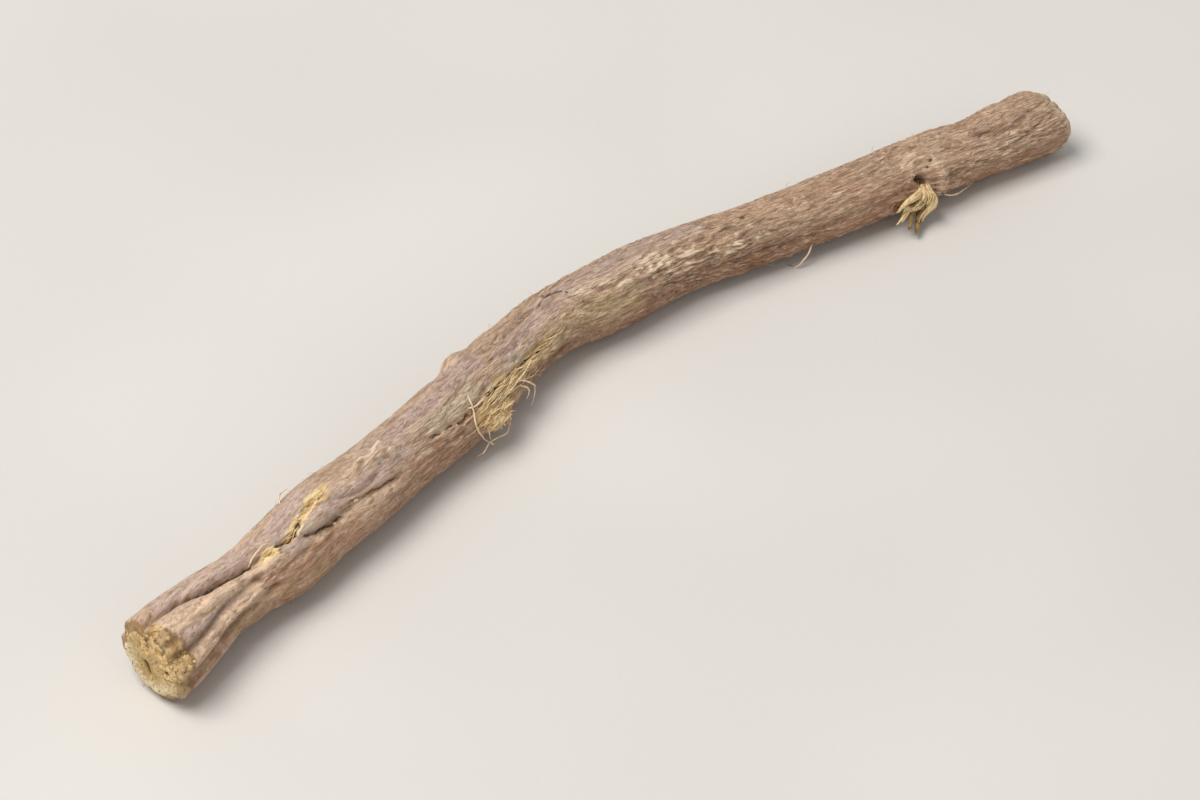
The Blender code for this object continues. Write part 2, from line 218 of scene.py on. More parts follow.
# Where the bark has another colour: half width and places, one stroke or more for each.
TINTS = {
    "torn": (
        (0.9, ((24.2, 113), (27.8, 101), (30, 97), (34, 91))),
        (1.1, ((20.7, 112), (22.0, 113))),
        (1.25, ((79.0, 149), (73, 151), (69, 153))),
        (2.2, ((68.5, 155), (65, 158), (62.2, 161))),
        (1.7, ((62.4, 177), (65, 181))),
    ),
    "pink": (
        (1.5, ((1, 104), (7, 116), (13.5, 120))),
        (0.8, ((16, 121), (22, 124))),
        (0.8, ((4, 160), (12, 152), (18, 150))),
        (0.9, ((68.2, 190), (71, 186), (74, 180))),
        (1.7, ((143.2, 118), (145.6, 130), (146.8, 150))),
        (0.8, ((143.0, 170), (143.7, 173))),
        *along_forms({"handle of the fork": 0.55, "forked ridge": 0.55, "other tine": 0.5}),
    ),
    # Lilac grey: partly the bark's own tint, partly painted sky sheen on the top of the root.
    "lilac": (
        (3.2, ((6, 62), (14, 84), (22, 98), (31, 80))),
        (1.8, ((24, 122), (29, 118), (35, 112))),
        (2.4, ((44, 78), (50, 84), (57, 82), (66, 78))),
        (2.2, ((71, 112), (80, 100), (86, 88), (95, 80), (108, 84))),
        (1.2, ((2, 128), (8, 134), (13, 131))),
        (1.3, ((36, 116), (42, 122), (48, 118))),
    ),
    "smooth": (
        (2.2, ((143.0, 118), (145.6, 132), (146.6, 150))),
        (2.6, ((0, 112), (8, 116), (14, 119))),
        (2.6, ((2, 70), (14, 88), (22, 98))),
        (1.8, ((64.0, 48), (68.0, 48), (73.0, 52))),
    ),
    "green": (
        (1.6, ((53.6, 120), (57.5, 117), (62.0, 113))),
        (0.7, ((26.5, 118), (29.5, 116))),
        (0.9, ((65, 130), (70, 132), (75, 130))),
    ),
    "olive": (
        (3.0, ((80, 160), (88, 157), (94, 164))),
        (1.4, ((92, 178), (96, 176))),
        (1.2, ((12, 172), (20, 176), (30, 184))),
    ),
    # Reddish bark; the long stroke low on the -Y side of the far half is painted warm shade.
    "red": (
        (2.0, ((20, 156), (27, 162), (34, 168))),
        (1.8, ((48, 160), (56, 168))),
        (2.4, ((97, 192), (118, 196), (136, 200), (160, 204))),
        (1.8, ((134, 158), (140, 160), (142.6, 170))),
    ),
    # Pale marks along ridges and scars, partly painted highlight on the ridges they follow.
    "cream": (
        *along_forms({"forked ridge": 0.5, "other tine": 0.5, "long strand of the patch": 0.6}),
        (1.0, ((87, 108), (95, 111), (99, 110), (104, 114))),
        (0.9, ((91, 120), (95, 122), (100, 121), (106, 126))),
        (0.9, ((96, 133), (101, 132), (107, 137))),
        (0.8, ((100, 145), (105, 143), (111, 148), (118, 146))),
        (0.6, ((141.2, 122), (142.0, 124))),
        (0.6, ((14, 106), (18, 112), (21, 117))),
        (0.5, ((33.6, 138), (35.2, 142))),
        (0.4, ((20.4, 112), (20.8, 119), (21.8, 120), (22.3, 113), (21.8, 106), (20.8, 105),
               (20.4, 112))),
        (0.35, ((24.8, 104), (27.6, 97), (31.0, 89), (33.4, 86))),
        (0.35, ((26.4, 113), (29.2, 103), (32.4, 97))),
        (0.3, ((61.6, 152), (64.4, 153), (67.6, 149))),
        (0.35, ((62.4, 178), (64.6, 174), (66.8, 168))),
        (0.3, ((71.0, 155), (75.0, 152), (79.0, 150))),
    ),
    # Painted shade in the cracks, pits, gaps and hollows.
    "dark": (
        (0.3, ((6, 84), (8, 90), (11.4, 101), (14.6, 104), (18.5, 107))),
        (0.4, ((22.9, 109), (23.9, 112), (24.6, 116))),
        (0.32, ((24.8, 114), (26, 110), (27.6, 106))),
        (0.46, ((83.3, 68), (83.6, 75), (84.4, 82))),
        (0.2, ((84.4, 82), (85.6, 88), (86.0, 96))),
        (0.6, ((142.9, 153), (143.4, 158), (143.9, 164))),
        *along_forms({
            "pit in the scar": 0.22,
            "upper crack": 0.2,
            "lower crack": 0.13,
            "first dash": 0.16,
            "second dash": 0.16,
            "third dash": 0.24,
            "small pit": 0.34,
            "pit at the top": 0.46,
            "pit in the flecks": 0.36,
            "first gap of the patch": 0.3,
            "second gap": 0.38,
            "third gap": 0.32,
            "fourth gap": 0.38,
            "fifth gap": 0.32,
            "sixth gap": 0.3,
            "hollow under the bulge": 0.6,
            "first pit of the collar": 0.3,
            "second pit of the collar": 0.24,
        }),
    ),
}

# Where loose fibres and pale flecks grow, in the same form.
GROWTH = {
    "patch fibres": (
        (1.0, ((79, 150), (73, 152), (69, 154))),
        (1.7, ((68.5, 156), (65, 159), (62.6, 161))),
    ),
    "strip fibres": (
        (0.55, ((24.6, 112), (27.8, 101), (30, 97), (34, 91))),
        (0.6, ((20.7, 112), (22.0, 113))),
    ),
    "tuft": ((1.3, ((62.0, 176), (64.2, 182), (66, 184))),),
    "flecks": (
        (0.6, ((32.4, 141), (34.6, 143))),
        (0.6, ((36.6, 141), (38.2, 144))),
        (0.7, ((114.2, 115), (115.2, 115))),
        (0.8, ((121.8, 119), (123, 119))),
        (0.7, ((116.2, 143), (117, 143))),
        (0.9, ((120.8, 150), (122, 150))),
        (0.6, ((123.6, 79), (124, 79))),
        (0.9, ((152.8, 110), (153.8, 110))),
        (0.8, ((156.2, 132), (157, 132))),
        (0.8, ((151.2, 148), (152, 148))),
    ),
}

# How far past the flared rim the cut wood shows, at each turn: the knife slipped there and the bark tore.
CUT_SPREAD = (
    (0, 0.25),
    (60, 0.5),
    (100, 1.3),
    (126, 2.3),
    (152, 2.6),
    (168, 2.0),
    (198, 1.5),
    (216, 0.9),
    (245, 0.25),
    (360, 0.25),
)
# How far it is sunk there, how wide its edge is, and the least width of the slope down to it.
CUT_SPREAD_SUNK = 0.55
CUT_SPREAD_EDGE = 0.9
CUT_SPREAD_SLOPE = 0.6
# Crumbs of torn wood lie no further along than this.
CRUMBS_REACH = 5.0
# The torn side of the face: how steeply it begins, and how far from the middle.
TORN_SIDE = (1.6, 0.25)

# Marks on the flared cut face, from its middle, in millimetres towards +Y and upwards: small pits with
# their radius and depth, and the dark slit and the faint crack below it with their half width and depth.
FACE_PITS = (
    (-0.95, 4.3, 0.5, 0.55),
    (-3.6, 2.8, 0.42, 0.45),
    (-2.6, 3.7, 0.32, 0.4),
    (-2.9, 0.4, 0.42, 0.45),
)
FACE_CRACKS = (
    (0.5, 0.75, ((0.85, -0.35), (0.55, -1.0), (0.25, -1.5))),
    (0.16, 0.22, ((0.2, -1.5), (-0.6, -2.6), (-2.0, -3.9))),
)
# How much painted shade darkens a pit and a crack for each millimetre of their depth.
PIT_DARKNESS = 2
CRACK_DARKNESS = 2.4

# Flecks away from their patches: their share, its waves round the bark and how long those are, where along
# the root the flecks grow from thin to full and over what distance, and the thinnest share.
STRAY_FLECKS = (0.32, 0.16, 7.0)
STRAY_FLECKS_GROW = (60.0, 50.0, 0.3)
# Share of the bark that carries fine hairs.
HAIRY_SHARE = 0.8

# Mesh of the fine surface: rings from, to and how many, sides round the root, and rings of a cut face.
FINE_SPANS = (
    (0.0, 36.0, 100),
    (36.0, 52.0, 28),
    (52.0, 90.0, 104),
    (90.0, 139.0, 82),
    (139.0, 150.0, 34),
    (150.0, 168.0, 26),
)
FINE_SIDES = 240
FACE_RINGS = 19
# Above 1, the rings of a cut face lie closer together near its rim.
FACE_RING_CROWDING = 1.2

# How far the fine surface may stand outside the solid's box on each axis.
ROOM = Vector((1.2, 0.5, 0.26)) * MM


# Helpers for nodes


def to_linear(colour):
    """An sRGB hex value as a linear colour for Blender."""
    parts = [int(colour[i:i + 2], 16) / 255 for i in (1, 3, 5)]
    return (*(p / 12.92 if p <= 0.04045 else ((p + 0.055) / 1.055) ** 2.4 for p in parts), 1.0)


def add(tree, kind, inputs=None, **settings):
    """Adds a node, gives it its settings, and links or fills the inputs named by socket name or number."""
    node = tree.nodes.new(kind)
    for name, value in settings.items():
        setattr(node, name, value)
    for key, value in (inputs or {}).items():
        if isinstance(value, bpy.types.NodeSocket):
            tree.links.new(value, node.inputs[key])
        else:
            node.inputs[key].default_value = value
    return node


SOCKET_KINDS = {
    float: "NodeSocketFloat",
    int: "NodeSocketInt",
    str: "NodeSocketString",
    bpy.types.Material: "NodeSocketMaterial",
}
# Sockets of the Mix node for colours, and of Random Value for numbers, which share their names with others.
MIX_SHARE, MIX_UNDER, MIX_OVER, MIX_OUT = 0, 6, 7, 2
RANDOM_MIN, RANDOM_MAX, RANDOM_SEED, RANDOM_OUT = 2, 3, 8, 1
# The mean of coloured noise, which is taken off it so that it pushes both ways.
NOISE_MIDDLE = (0.5, 0.5, 0.5)


def new_tree(name, inputs):
    """A Geometry Nodes tree with these named inputs, and the sockets that bring them in."""
    tree = bpy.data.node_groups.new(name, "GeometryNodeTree")
    tree.interface.new_socket("Geometry", in_out="INPUT", socket_type="NodeSocketGeometry")
    tree.interface.new_socket("Geometry", in_out="OUTPUT", socket_type="NodeSocketGeometry")
    for label, value in inputs.items():
        socket = tree.interface.new_socket(label, in_out="INPUT", socket_type=SOCKET_KINDS[type(value)])
        socket.default_value = value
    return tree, add(tree, "NodeGroupInput").outputs


def end_tree(tree, geometry, material):
    """Realises what the tree made, gives it its material and sends it out."""
    real = add(tree, "GeometryNodeRealizeInstances", {"Geometry": geometry})
    dressed = add(tree, "GeometryNodeSetMaterial", {"Geometry": real.outputs[0], "Material": material})
    add(tree, "NodeGroupOutput", {"Geometry": dressed.outputs[0]})


def grown(name, tree, mesh, values):
    """A new piece: the plain mesh that the tree makes from this one, with its inputs at these values."""
    piece = bpy.data.objects.new(name, mesh)
    bpy.context.scene.collection.objects.link(piece)
    modifier = piece.modifiers.new("tree", "NODES")
    modifier.node_group = tree
    for socket in tree.interface.items_tree:
        if socket.in_out == "INPUT" and socket.name in values:
            modifier[socket.identifier] = values[socket.name]
    graph = bpy.context.evaluated_depsgraph_get()
    made = bpy.data.meshes.new_from_object(
        piece.evaluated_get(graph), preserve_all_data_layers=True, depsgraph=graph
    )
    piece.modifiers.clear()
    piece.data = made
    return piece


def maths(tree, operation, *values, **settings):
    """The result of one Math operation on these values."""
    return add(tree, "ShaderNodeMath", dict(enumerate(values)), operation=operation, **settings).outputs[0]


def vectors(tree, operation, vector, *others):
    """The result of one Vector Math operation on this vector and the others, or on it and a scale."""
    sockets = ("Scale",) if operation == "SCALE" else (1, 2)
    inputs = {0: vector, **dict(zip(sockets, others))}
    return add(tree, "ShaderNodeVectorMath", inputs, operation=operation).outputs[0]


def push_from(tree, noise, amount):
    """What coloured noise pushes a place by, to any side, as far as the amount says."""
    return vectors(tree, "SCALE", vectors(tree, "SUBTRACT", noise.outputs[1], NOISE_MIDDLE), amount)


def drawn(tree, low, high, seed):
    """A random number between these two for each point."""
    inputs = {RANDOM_MIN: low, RANDOM_MAX: high, RANDOM_SEED: seed}
    return add(tree, "FunctionNodeRandomValue", inputs, data_type="FLOAT").outputs[RANDOM_OUT]


def pattern(tree, place, size, seed, low=0.4, high=0.6, detail=1.0):
    """A pattern from 0 to 1 whose patches measure about this size along and across the root, in
    millimetres. It is 0 where the noise is under the low value, and 1 where it is over the high one."""
    scale = [1 / length for length in size]
    start = (3.1 * seed, 7.7 * seed, 1.3 * seed)
    scaled = vectors(tree, "MULTIPLY_ADD", place, scale, start)
    noise = add(tree, "ShaderNodeTexNoise", {"Vector": scaled, "Scale": 1.0, "Detail": detail})
    sharpened = add(
        tree,
        "ShaderNodeMapRange",
        {"Value": noise.outputs[0], "From Min": low, "From Max": high},
        interpolation_type="SMOOTHSTEP",
    )
    return sharpened.outputs[0]


def pushed_about(tree, place, size, amount, seed):
    """The place moved by slow noise, so that what is drawn there waves as it runs."""
    sizes = (size, 0.6 * size, 0.6 * size)
    slow = vectors(tree, "DIVIDE", place, sizes)
    moved = vectors(tree, "ADD", slow, (seed, seed, seed))
    noise = add(tree, "ShaderNodeTexNoise", {"Vector": moved, "Scale": 1.0, "Detail": 1.0})
    return vectors(tree, "ADD", place, push_from(tree, noise, amount))


# How steeply a wrinkle rises from its valley, and how round it is on top: lower is rounder.
WRINKLE_STEEPNESS = 7.0
WRINKLE_ROUNDNESS = 0.7


def wrinkles(tree, place, length, width, seed, detail=1.0):
    """Rounded ridges with narrow valleys between them, from 0 in a valley to 1 on a ridge."""
    size = add(tree, "ShaderNodeCombineXYZ", {0: length, 1: width, 2: width})
    scaled = vectors(tree, "DIVIDE", place, size.outputs[0])
    start = (0.0, 0.0, seed)
    moved = vectors(tree, "ADD", scaled, start)
    noise = add(tree, "ShaderNodeTexNoise", {"Vector": moved, "Scale": 1.0, "Detail": detail})
    centred = maths(tree, "SUBTRACT", noise.outputs[0], 0.5)
    height = maths(tree, "ABSOLUTE", centred)
    capped = maths(tree, "MULTIPLY", height, WRINKLE_STEEPNESS, use_clamp=True)
    return maths(tree, "POWER", capped, WRINKLE_ROUNDNESS)


def product(tree, *values):
    """All of these values multiplied."""
    return functools.reduce(lambda so_far, value: maths(tree, "MULTIPLY", so_far, value), values)


def total(tree, *values):
    """All of these values added up."""
    return functools.reduce(lambda so_far, value: maths(tree, "ADD", so_far, value), values)


def spread(tree, value, start, end, low=0.0, high=1.0):
    """The value moved smoothly from the range start to end into the range low to high."""
    ranged = add(
        tree,
        "ShaderNodeMapRange",
        {"Value": value, "From Min": start, "From Max": end, "To Min": low, "To Max": high},
        interpolation_type="SMOOTHSTEP",
    )
    return ranged.outputs[0]


def layered(tree, colour, layers):
    """Colours, each a hex value or a socket, laid over the first one where their own share is high."""
    for over, share in layers:
        under, over = (to_linear(each) if isinstance(each, str) else each for each in (colour, over))
        mixed = add(
            tree, "ShaderNodeMix", {MIX_SHARE: share, MIX_UNDER: under, MIX_OVER: over}, data_type="RGBA"
        )
        colour = mixed.outputs[MIX_OUT]
    return colour


# The form of the root


def smooth_curve(knots, values, at):
    """A cubic through the values at the knots, whose slope at each knot comes from its neighbours."""
    slopes = np.gradient(values, knots, axis=0)
    span = np.clip(np.searchsorted(knots, at, side="right") - 1, 0, len(knots) - 2)
    width = (knots[span + 1] - knots[span])[:, None]
    t = (at[:, None] - knots[span][:, None]) / width
    start, end = values[span], values[span + 1]
    rise = end - start
    bend_in = slopes[span] * width - rise
    bend_out = rise - slopes[span + 1] * width
    return start + rise * t + t * (1 - t) * (bend_in * (1 - t) + bend_out * t)


def centreline(along):
    """The middle, the three directions and the radius of the root at each place along it."""
    points = np.array(CENTRELINE)
    steps = np.linalg.norm(np.diff(points[:, :3], axis=0), axis=1)
    knots = np.concatenate([[0.0], np.cumsum(steps)])
    at = np.clip(along, 0.0, knots[-1])
    found = smooth_curve(knots, points, at)
    ahead = smooth_curve(knots, points, np.minimum(at + SLOPE_STEP, knots[-1]))
    behind = smooth_curve(knots, points, np.maximum(at - SLOPE_STEP, 0.0))
    forward = ahead[:, :3] - behind[:, :3]
    forward /= np.linalg.norm(forward, axis=1)[:, None]
    side = np.cross((0.0, 0.0, 1.0), forward)
    side /= np.linalg.norm(side, axis=1)[:, None]
    return found[:, :3], forward, side, np.cross(forward, side), found[:, 3]


def root_length():
    """The length of the line through the middle, in millimetres."""
    points = np.array(CENTRELINE)[:, :3]
    return float(np.linalg.norm(np.diff(points, axis=0), axis=1).sum())


def wobbled(along, turn):
    """The turn pushed about by short waves, so that furrows and cracks run unevenly like torn bark."""
    waves = sum(
        share * np.sin(along * rate + lobes * turn + start) for share, rate, lobes, start in WOBBLE_WAVES
    )
    return turn + waves * WOBBLE / MEAN_RADIUS


def distance_to(along, turn, places):
    """How far each place on the unrolled bark is from the line through these places, in millimetres."""
    nearest = np.full(np.broadcast(along, turn).shape, np.inf)
    for (s0, t0), (s1, t1) in zip(places, places[1:]):
        across = MEAN_RADIUS * (np.mod(turn - math.radians(t0) + math.pi, 2 * math.pi) - math.pi)
        run, climb = s1 - s0, MEAN_RADIUS * math.radians(t1 - t0)
        share = np.clip(((along - s0) * run + across * climb) / (run * run + climb * climb), 0.0, 1.0)
        nearest = np.minimum(nearest, np.hypot(along - s0 - share * run, across - share * climb))
    return nearest


def form_relief(along, turn, forms):
    """The furrows, folds and knobs, each a smooth trough or ridge round its line."""
    relief = np.zeros(np.broadcast(along, turn).shape)
    for height, half_width, places in forms.values():
        relief += height * np.exp(-((distance_to(along, turn, places) / half_width) ** 2))
    return relief


def bark_relief(along, turn):
    """Long grooves with sharp floors that wander along the root in patches, and low lumps between them."""
    wander = sum(
        size * np.sin(along / length * 2 * math.pi + start) for size, length, start in GROOVE_WANDER
    )
    height, short, long = BARK_LUMPS
    relief = height * np.sin(along / short + 2 * turn) * np.sin(along / long - 3 * turn + 1.0)
    for count, depth, start, patch in BARK_GROOVES:
        floor = 1.0 - np.abs(np.sin((count * (turn + wander) + start) / 2))
        patches = 0.55 + 0.45 * np.sin(along * 2 * math.pi / patch + 3 * turn + start)
        relief = relief - depth * patches * floor**1.6
    return relief


def cut_spread(turn):
    """How far along the bark the cut wood reaches at each turn."""
    turns, reaches = np.array(CUT_SPREAD).T
    return np.interp(np.degrees(turn) % 360, turns, reaches)


def skin(along, turn, fine):
    """Points of the bark at each place along the root (rows) and each turn round it (columns)."""
    middle, forward, side, up, radius = centreline(along)
    s, t = np.meshgrid(along, turn, indexing="ij")
    rounded = 1 + OVAL[0] * np.cos(2 * t - s / OVAL[1]) + LOBED[0] * np.cos(3 * t + s / LOBED[1])
    reach = radius[:, None] * rounded + form_relief(s, t, FORMS) + bark_relief(s, t)
    if fine:
        reach += form_relief(s, wobbled(s, t), FINE_FORMS)
        slope = np.maximum(cut_spread(t), CUT_SPREAD_SLOPE)
        reach -= CUT_SPREAD_SUNK * np.clip(1 - s / slope, 0.0, 1.0)
    to_end = np.minimum(s, root_length() - s)
    reach -= RIM_ROUNDING * np.clip(1 - to_end / RIM_ROUNDING, 0.0, 1.0) ** 2
    out = np.cos(t)[..., None] * side[:, None, :] + np.sin(t)[..., None] * up[:, None, :]
    slant = np.zeros_like(reach)
    for normal, row, distance in ((NEAR_CUT_NORMAL, 0, s), (FAR_CUT_NORMAL, -1, root_length() - s)):
        normal = np.array(normal)
        lean = -(out[row] @ normal) / (forward[row] @ normal)
        slant += np.clip(1 - distance / CUT_REACH, 0.0, 1.0) ** 2 * lean[None, :] * reach
    return middle[:, None, :] + reach[..., None] * out + slant[..., None] * forward[:, None, :]


def ring_places(spans):
    """Where along the root each ring of points lies, from the flared end's rim to the far one's."""
    places = [np.linspace(start, end, count, endpoint=False) for start, end, count in spans]
    return np.concatenate(places + [[root_length()]])


def stand_of_solid():
    """The bend that lays the root level, and the step that takes it to the solid's place in the frame."""
    places = ring_places(SOLID_SPANS)
    rows = skin(places, np.linspace(0, 2 * math.pi, SOLID_SIDES, endpoint=False), False)
    lowest = [rows[(places >= start) & (places <= end), :, 2].min() for start, end in CONTACTS]
    bend = np.polyfit([(start + end) / 2 for start, end in CONTACTS], lowest, 2)
    middle = rows[0].mean(axis=0)
    near_edge = middle + np.array(NEAR_CUT_NORMAL) * RIM_BEVEL + CUT_RINGS[1][0] * (rows[0] - middle)
    low_x = min(rows[..., 0].min(), near_edge[:, 0].min())
    high_y = rows[..., 1].max()
    step = np.array((cad_box[0].x / MM - low_x, cad_box[1].y / MM - high_y, -FLAT_DEPTH))
    return bend, step


def on_the_surface(rows, places, stand):
    """The rows of points bent level, flattened where they rest, and moved to where the solid is."""
    bend, step = stand
    rows = rows.copy()
    rows[..., 2] -= np.polyval(bend, places)[:, None]
    rows[..., 2] = np.maximum(rows[..., 2], FLAT_DEPTH)
    return rows + step


def face_relief(y, z, turn, share, torn_depth):
    """How far the cut wood is set back at each place of a cut face, with the pits and cracks of the flared
    one, which is the one that has torn wood."""
    shares, set_back = np.array(CUT_RINGS).T
    sunk = np.interp(share, shares[::-1], set_back[::-1])
    bevel = np.clip((1 - share) / (1 - CUT_RINGS[1][0]), 0.0, 1.0)
    sunk = sunk - RIM_BEVEL * (1 - (1 - bevel) ** 2)
    sunk += torn_depth * share * np.clip(np.cos(turn - math.radians(TORN_WOOD_TURN)), 0.0, 1.0)
    if torn_depth:
        for pit_y, pit_z, radius, depth in FACE_PITS:
            sunk += depth * np.exp(-((y - pit_y) ** 2 + (z - pit_z) ** 2) / radius**2)
        for width, depth, line in FACE_CRACKS:
            sunk += depth * np.exp(-((distance_in_face(y, z, line) / width) ** 2))
    return sunk


def pit_and_crack_shade(y, z):
    """How much painted shade the pits and cracks put on each place of the flared cut face, from 0 to 1."""
    hollow = np.zeros(np.shape(y))
    for width, depth, line in FACE_CRACKS:
        crack = np.exp(-((distance_in_face(y, z, line) / width) ** 2)) * min(1, CRACK_DARKNESS * depth)
        hollow = np.maximum(hollow, crack)
    for pit_y, pit_z, radius, depth in FACE_PITS:
        pit = np.exp(-((np.hypot(y - pit_y, z - pit_z) / radius) ** 4)) * min(1, PIT_DARKNESS * depth)
        hollow = np.maximum(hollow, pit)
    return hollow


def distance_in_face(y, z, line):
    """How far each place of the flared cut face is from this line on it."""
    nearest = np.full(np.shape(y), np.inf)
    for (y0, z0), (y1, z1) in zip(line, line[1:]):
        run, climb = y1 - y0, z1 - z0
        share = np.clip(((y - y0) * run + (z - z0) * climb) / (run * run + climb * climb), 0.0, 1.0)
        nearest = np.minimum(nearest, np.hypot(y - y0 - share * run, z - z0 - share * climb))
    return nearest


def torn_side(turn):
    """1 where the flared end's wood tore instead of being cut, and 0 on the other side of the face."""
    steepness, start = TORN_SIDE
    return np.clip(steepness * np.cos(turn - math.radians(TORN_WOOD_TURN)) - start, 0.0, 1.0)


def cut_face(rim, turn, normal, torn_depth):
    """Rings of points of a cut face from its rim inwards, its middle, and each ring's share of the radius
    and its (y, z) on the face."""
    middle = rim.mean(axis=0)
    radius = np.linalg.norm(rim - middle, axis=1)
    shares = 1 - np.linspace(0, 1, FACE_RINGS + 1)[1:-1] ** FACE_RING_CROWDING
    rings, flats = [], []
    for share in shares:
        y, z = share * radius * np.cos(turn), share * radius * np.sin(turn)
        sunk = face_relief(y, z, turn, share, torn_depth)
        rings.append(middle + (rim - middle) * share - np.array(normal) * sunk[:, None])
        flats.append(np.stack([y, z], axis=-1))
    tip = middle - np.array(normal) * face_relief(0.0, 0.0, 0.0, 0.0, torn_depth)
    return rings, tip, shares, flats


def stroke_mask(along, turn, strokes):
    """1 along the strokes and 0 away from them."""
    stray = wobbled(along, turn)
    mask = np.zeros(np.broadcast(along, turn).shape)
    for half_width, places in strokes:
        mask = np.maximum(mask, np.exp(-((distance_to(along, stray, places) / half_width) ** 2)))
    return mask


def fine_surface(stand):
    """The mesh of the root before its fine bark: the solid's form with many more points, and what the
    trees and materials read at each point: its place on a straight root, its grain and its tints."""
    turn = np.linspace(0, 2 * math.pi, FINE_SIDES, endpoint=False)
    places = ring_places(FINE_SPANS)
    rows = on_the_surface(skin(places, turn, True), places, stand)
    forward = centreline(places)[1]
    s, t = np.meshgrid(places, turn, indexing="ij")
    straight = np.stack([s, MEAN_RADIUS * np.cos(t), MEAN_RADIUS * np.sin(t)], axis=-1)
    masks = {name: stroke_mask(s, t, strokes) for name, strokes in (TINTS | GROWTH).items()}
    masks["form"] = form_relief(s, t, FORMS) + form_relief(s, wobbled(s, t), FINE_FORMS) + bark_relief(s, t)
    masks["cut"] = np.clip((cut_spread(t) - s) / CUT_SPREAD_EDGE + 0.5, 0.0, 1.0)
    masks["crumbs"] = masks["cut"] * torn_side(t) * (s < CRUMBS_REACH)
    masks["hollow"] = np.zeros_like(s)
    masks["rim"] = np.ones_like(s)
    masks["fuzz"] = HAIRY_SHARE * (1 - masks["cut"])
    share, swell, wave = STRAY_FLECKS
    start, distance, thinnest = STRAY_FLECKS_GROW
    stray = (share + swell * np.sin(s / wave + 2 * t)) * np.clip((s - start) / distance, thinnest, 1.0)
    masks["flecks"] = np.maximum(masks["flecks"], stray) * (1 - masks["cut"])
    near, near_tip, shares, near_flat = cut_face(rows[0], turn, NEAR_CUT_NORMAL, TORN_WOOD_DEPTH)
    far, far_tip, _, far_flat = cut_face(rows[-1], turn, FAR_CUT_NORMAL, 0.0)
    length = root_length()

    around, face_rings = FINE_SIDES, len(shares)
    points = [near_tip[None, :], *near[::-1], *rows, *far, far_tip[None, :]]
    flat_near = [np.concatenate([np.zeros((around, 1)), flat], axis=1) for flat in near_flat[::-1]]
    flat_far = [np.concatenate([np.full((around, 1), length), flat], axis=1) for flat in far_flat]
    straights = [np.zeros((1, 3)), *flat_near, *straight, *flat_far, np.array([[length, 0.0, 0.0]])]

    verts = np.concatenate(points)
    ring_starts = 1 + around * np.arange(face_rings + len(places) + face_rings)
    index = np.arange(around)
    following = np.roll(index, -1)
    faces = []
    for low, high in zip(ring_starts, ring_starts[1:]):
        quads = np.stack([low + index, low + following, high + following, high + index], axis=-1)
        faces.extend(quads.tolist())
    first, last = ring_starts[0], ring_starts[-1]
    near_tip_index, far_tip_index = np.zeros_like(index), np.full_like(index, len(verts) - 1)
    faces.extend(np.stack([first + following, first + index, near_tip_index], -1).tolist())
    faces.extend(np.stack([last + index, last + following, far_tip_index], -1).tolist())

    mesh = bpy.data.meshes.new("fine surface")
    mesh.from_pydata((verts * MM).tolist(), [], faces)
    mesh.update()
    work = bmesh.new()
    work.from_mesh(mesh)
    if work.calc_volume(signed=True) < 0:
        bmesh.ops.reverse_faces(work, faces=work.faces)
    work.to_mesh(mesh)
    work.free()

    write(mesh, "straight", np.concatenate(straights))
    write(mesh, "grain", np.concatenate([
        np.repeat(forward[:1], face_rings * around + 1, axis=0),
        np.repeat(forward, around, axis=0),
        np.repeat(forward[-1:], face_rings * around + 1, axis=0),
    ]))
    near_shares = np.concatenate([[0.0], np.repeat(shares[::-1], around)])
    near_y, near_z = np.concatenate(straights[:1 + face_rings])[:, 1:].T
    on_near = {
        "cut": np.ones_like(near_shares),
        "rim": near_shares,
        "crumbs": torn_side(np.arctan2(near_z, near_y)) * np.clip(2.2 * near_shares - 0.5, 0.0, 1.0),
        "hollow": pit_and_crack_shade(near_y, near_z),
    }
    on_far = {"cut": np.ones_like(near_shares), "rim": near_shares[::-1]}
    none = np.zeros_like(near_shares)
    for name, mask in masks.items():
        write(mesh, name, np.concatenate([on_near.get(name, none), mask.ravel(), on_far.get(name, none)]))
    return mesh


def write(mesh, name, values):
    """Keeps a number or a vector for each point of the mesh."""
    kind, key = ("FLOAT_VECTOR", "vector") if values.ndim == 2 else ("FLOAT", "value")
    layer = mesh.attributes.new(name, kind, "POINT")
    layer.data.foreach_set(key, values.astype(np.float32).ravel())


# Trees of nodes that make what repeats


# The bark gives way to wood where its mask, with this share of noise, passes this level, and inside the
# rim of a cut face.
RAGGED_EDGE = 0.5
WOOD_LEVEL = 0.55
INSIDE_RIM = 0.985


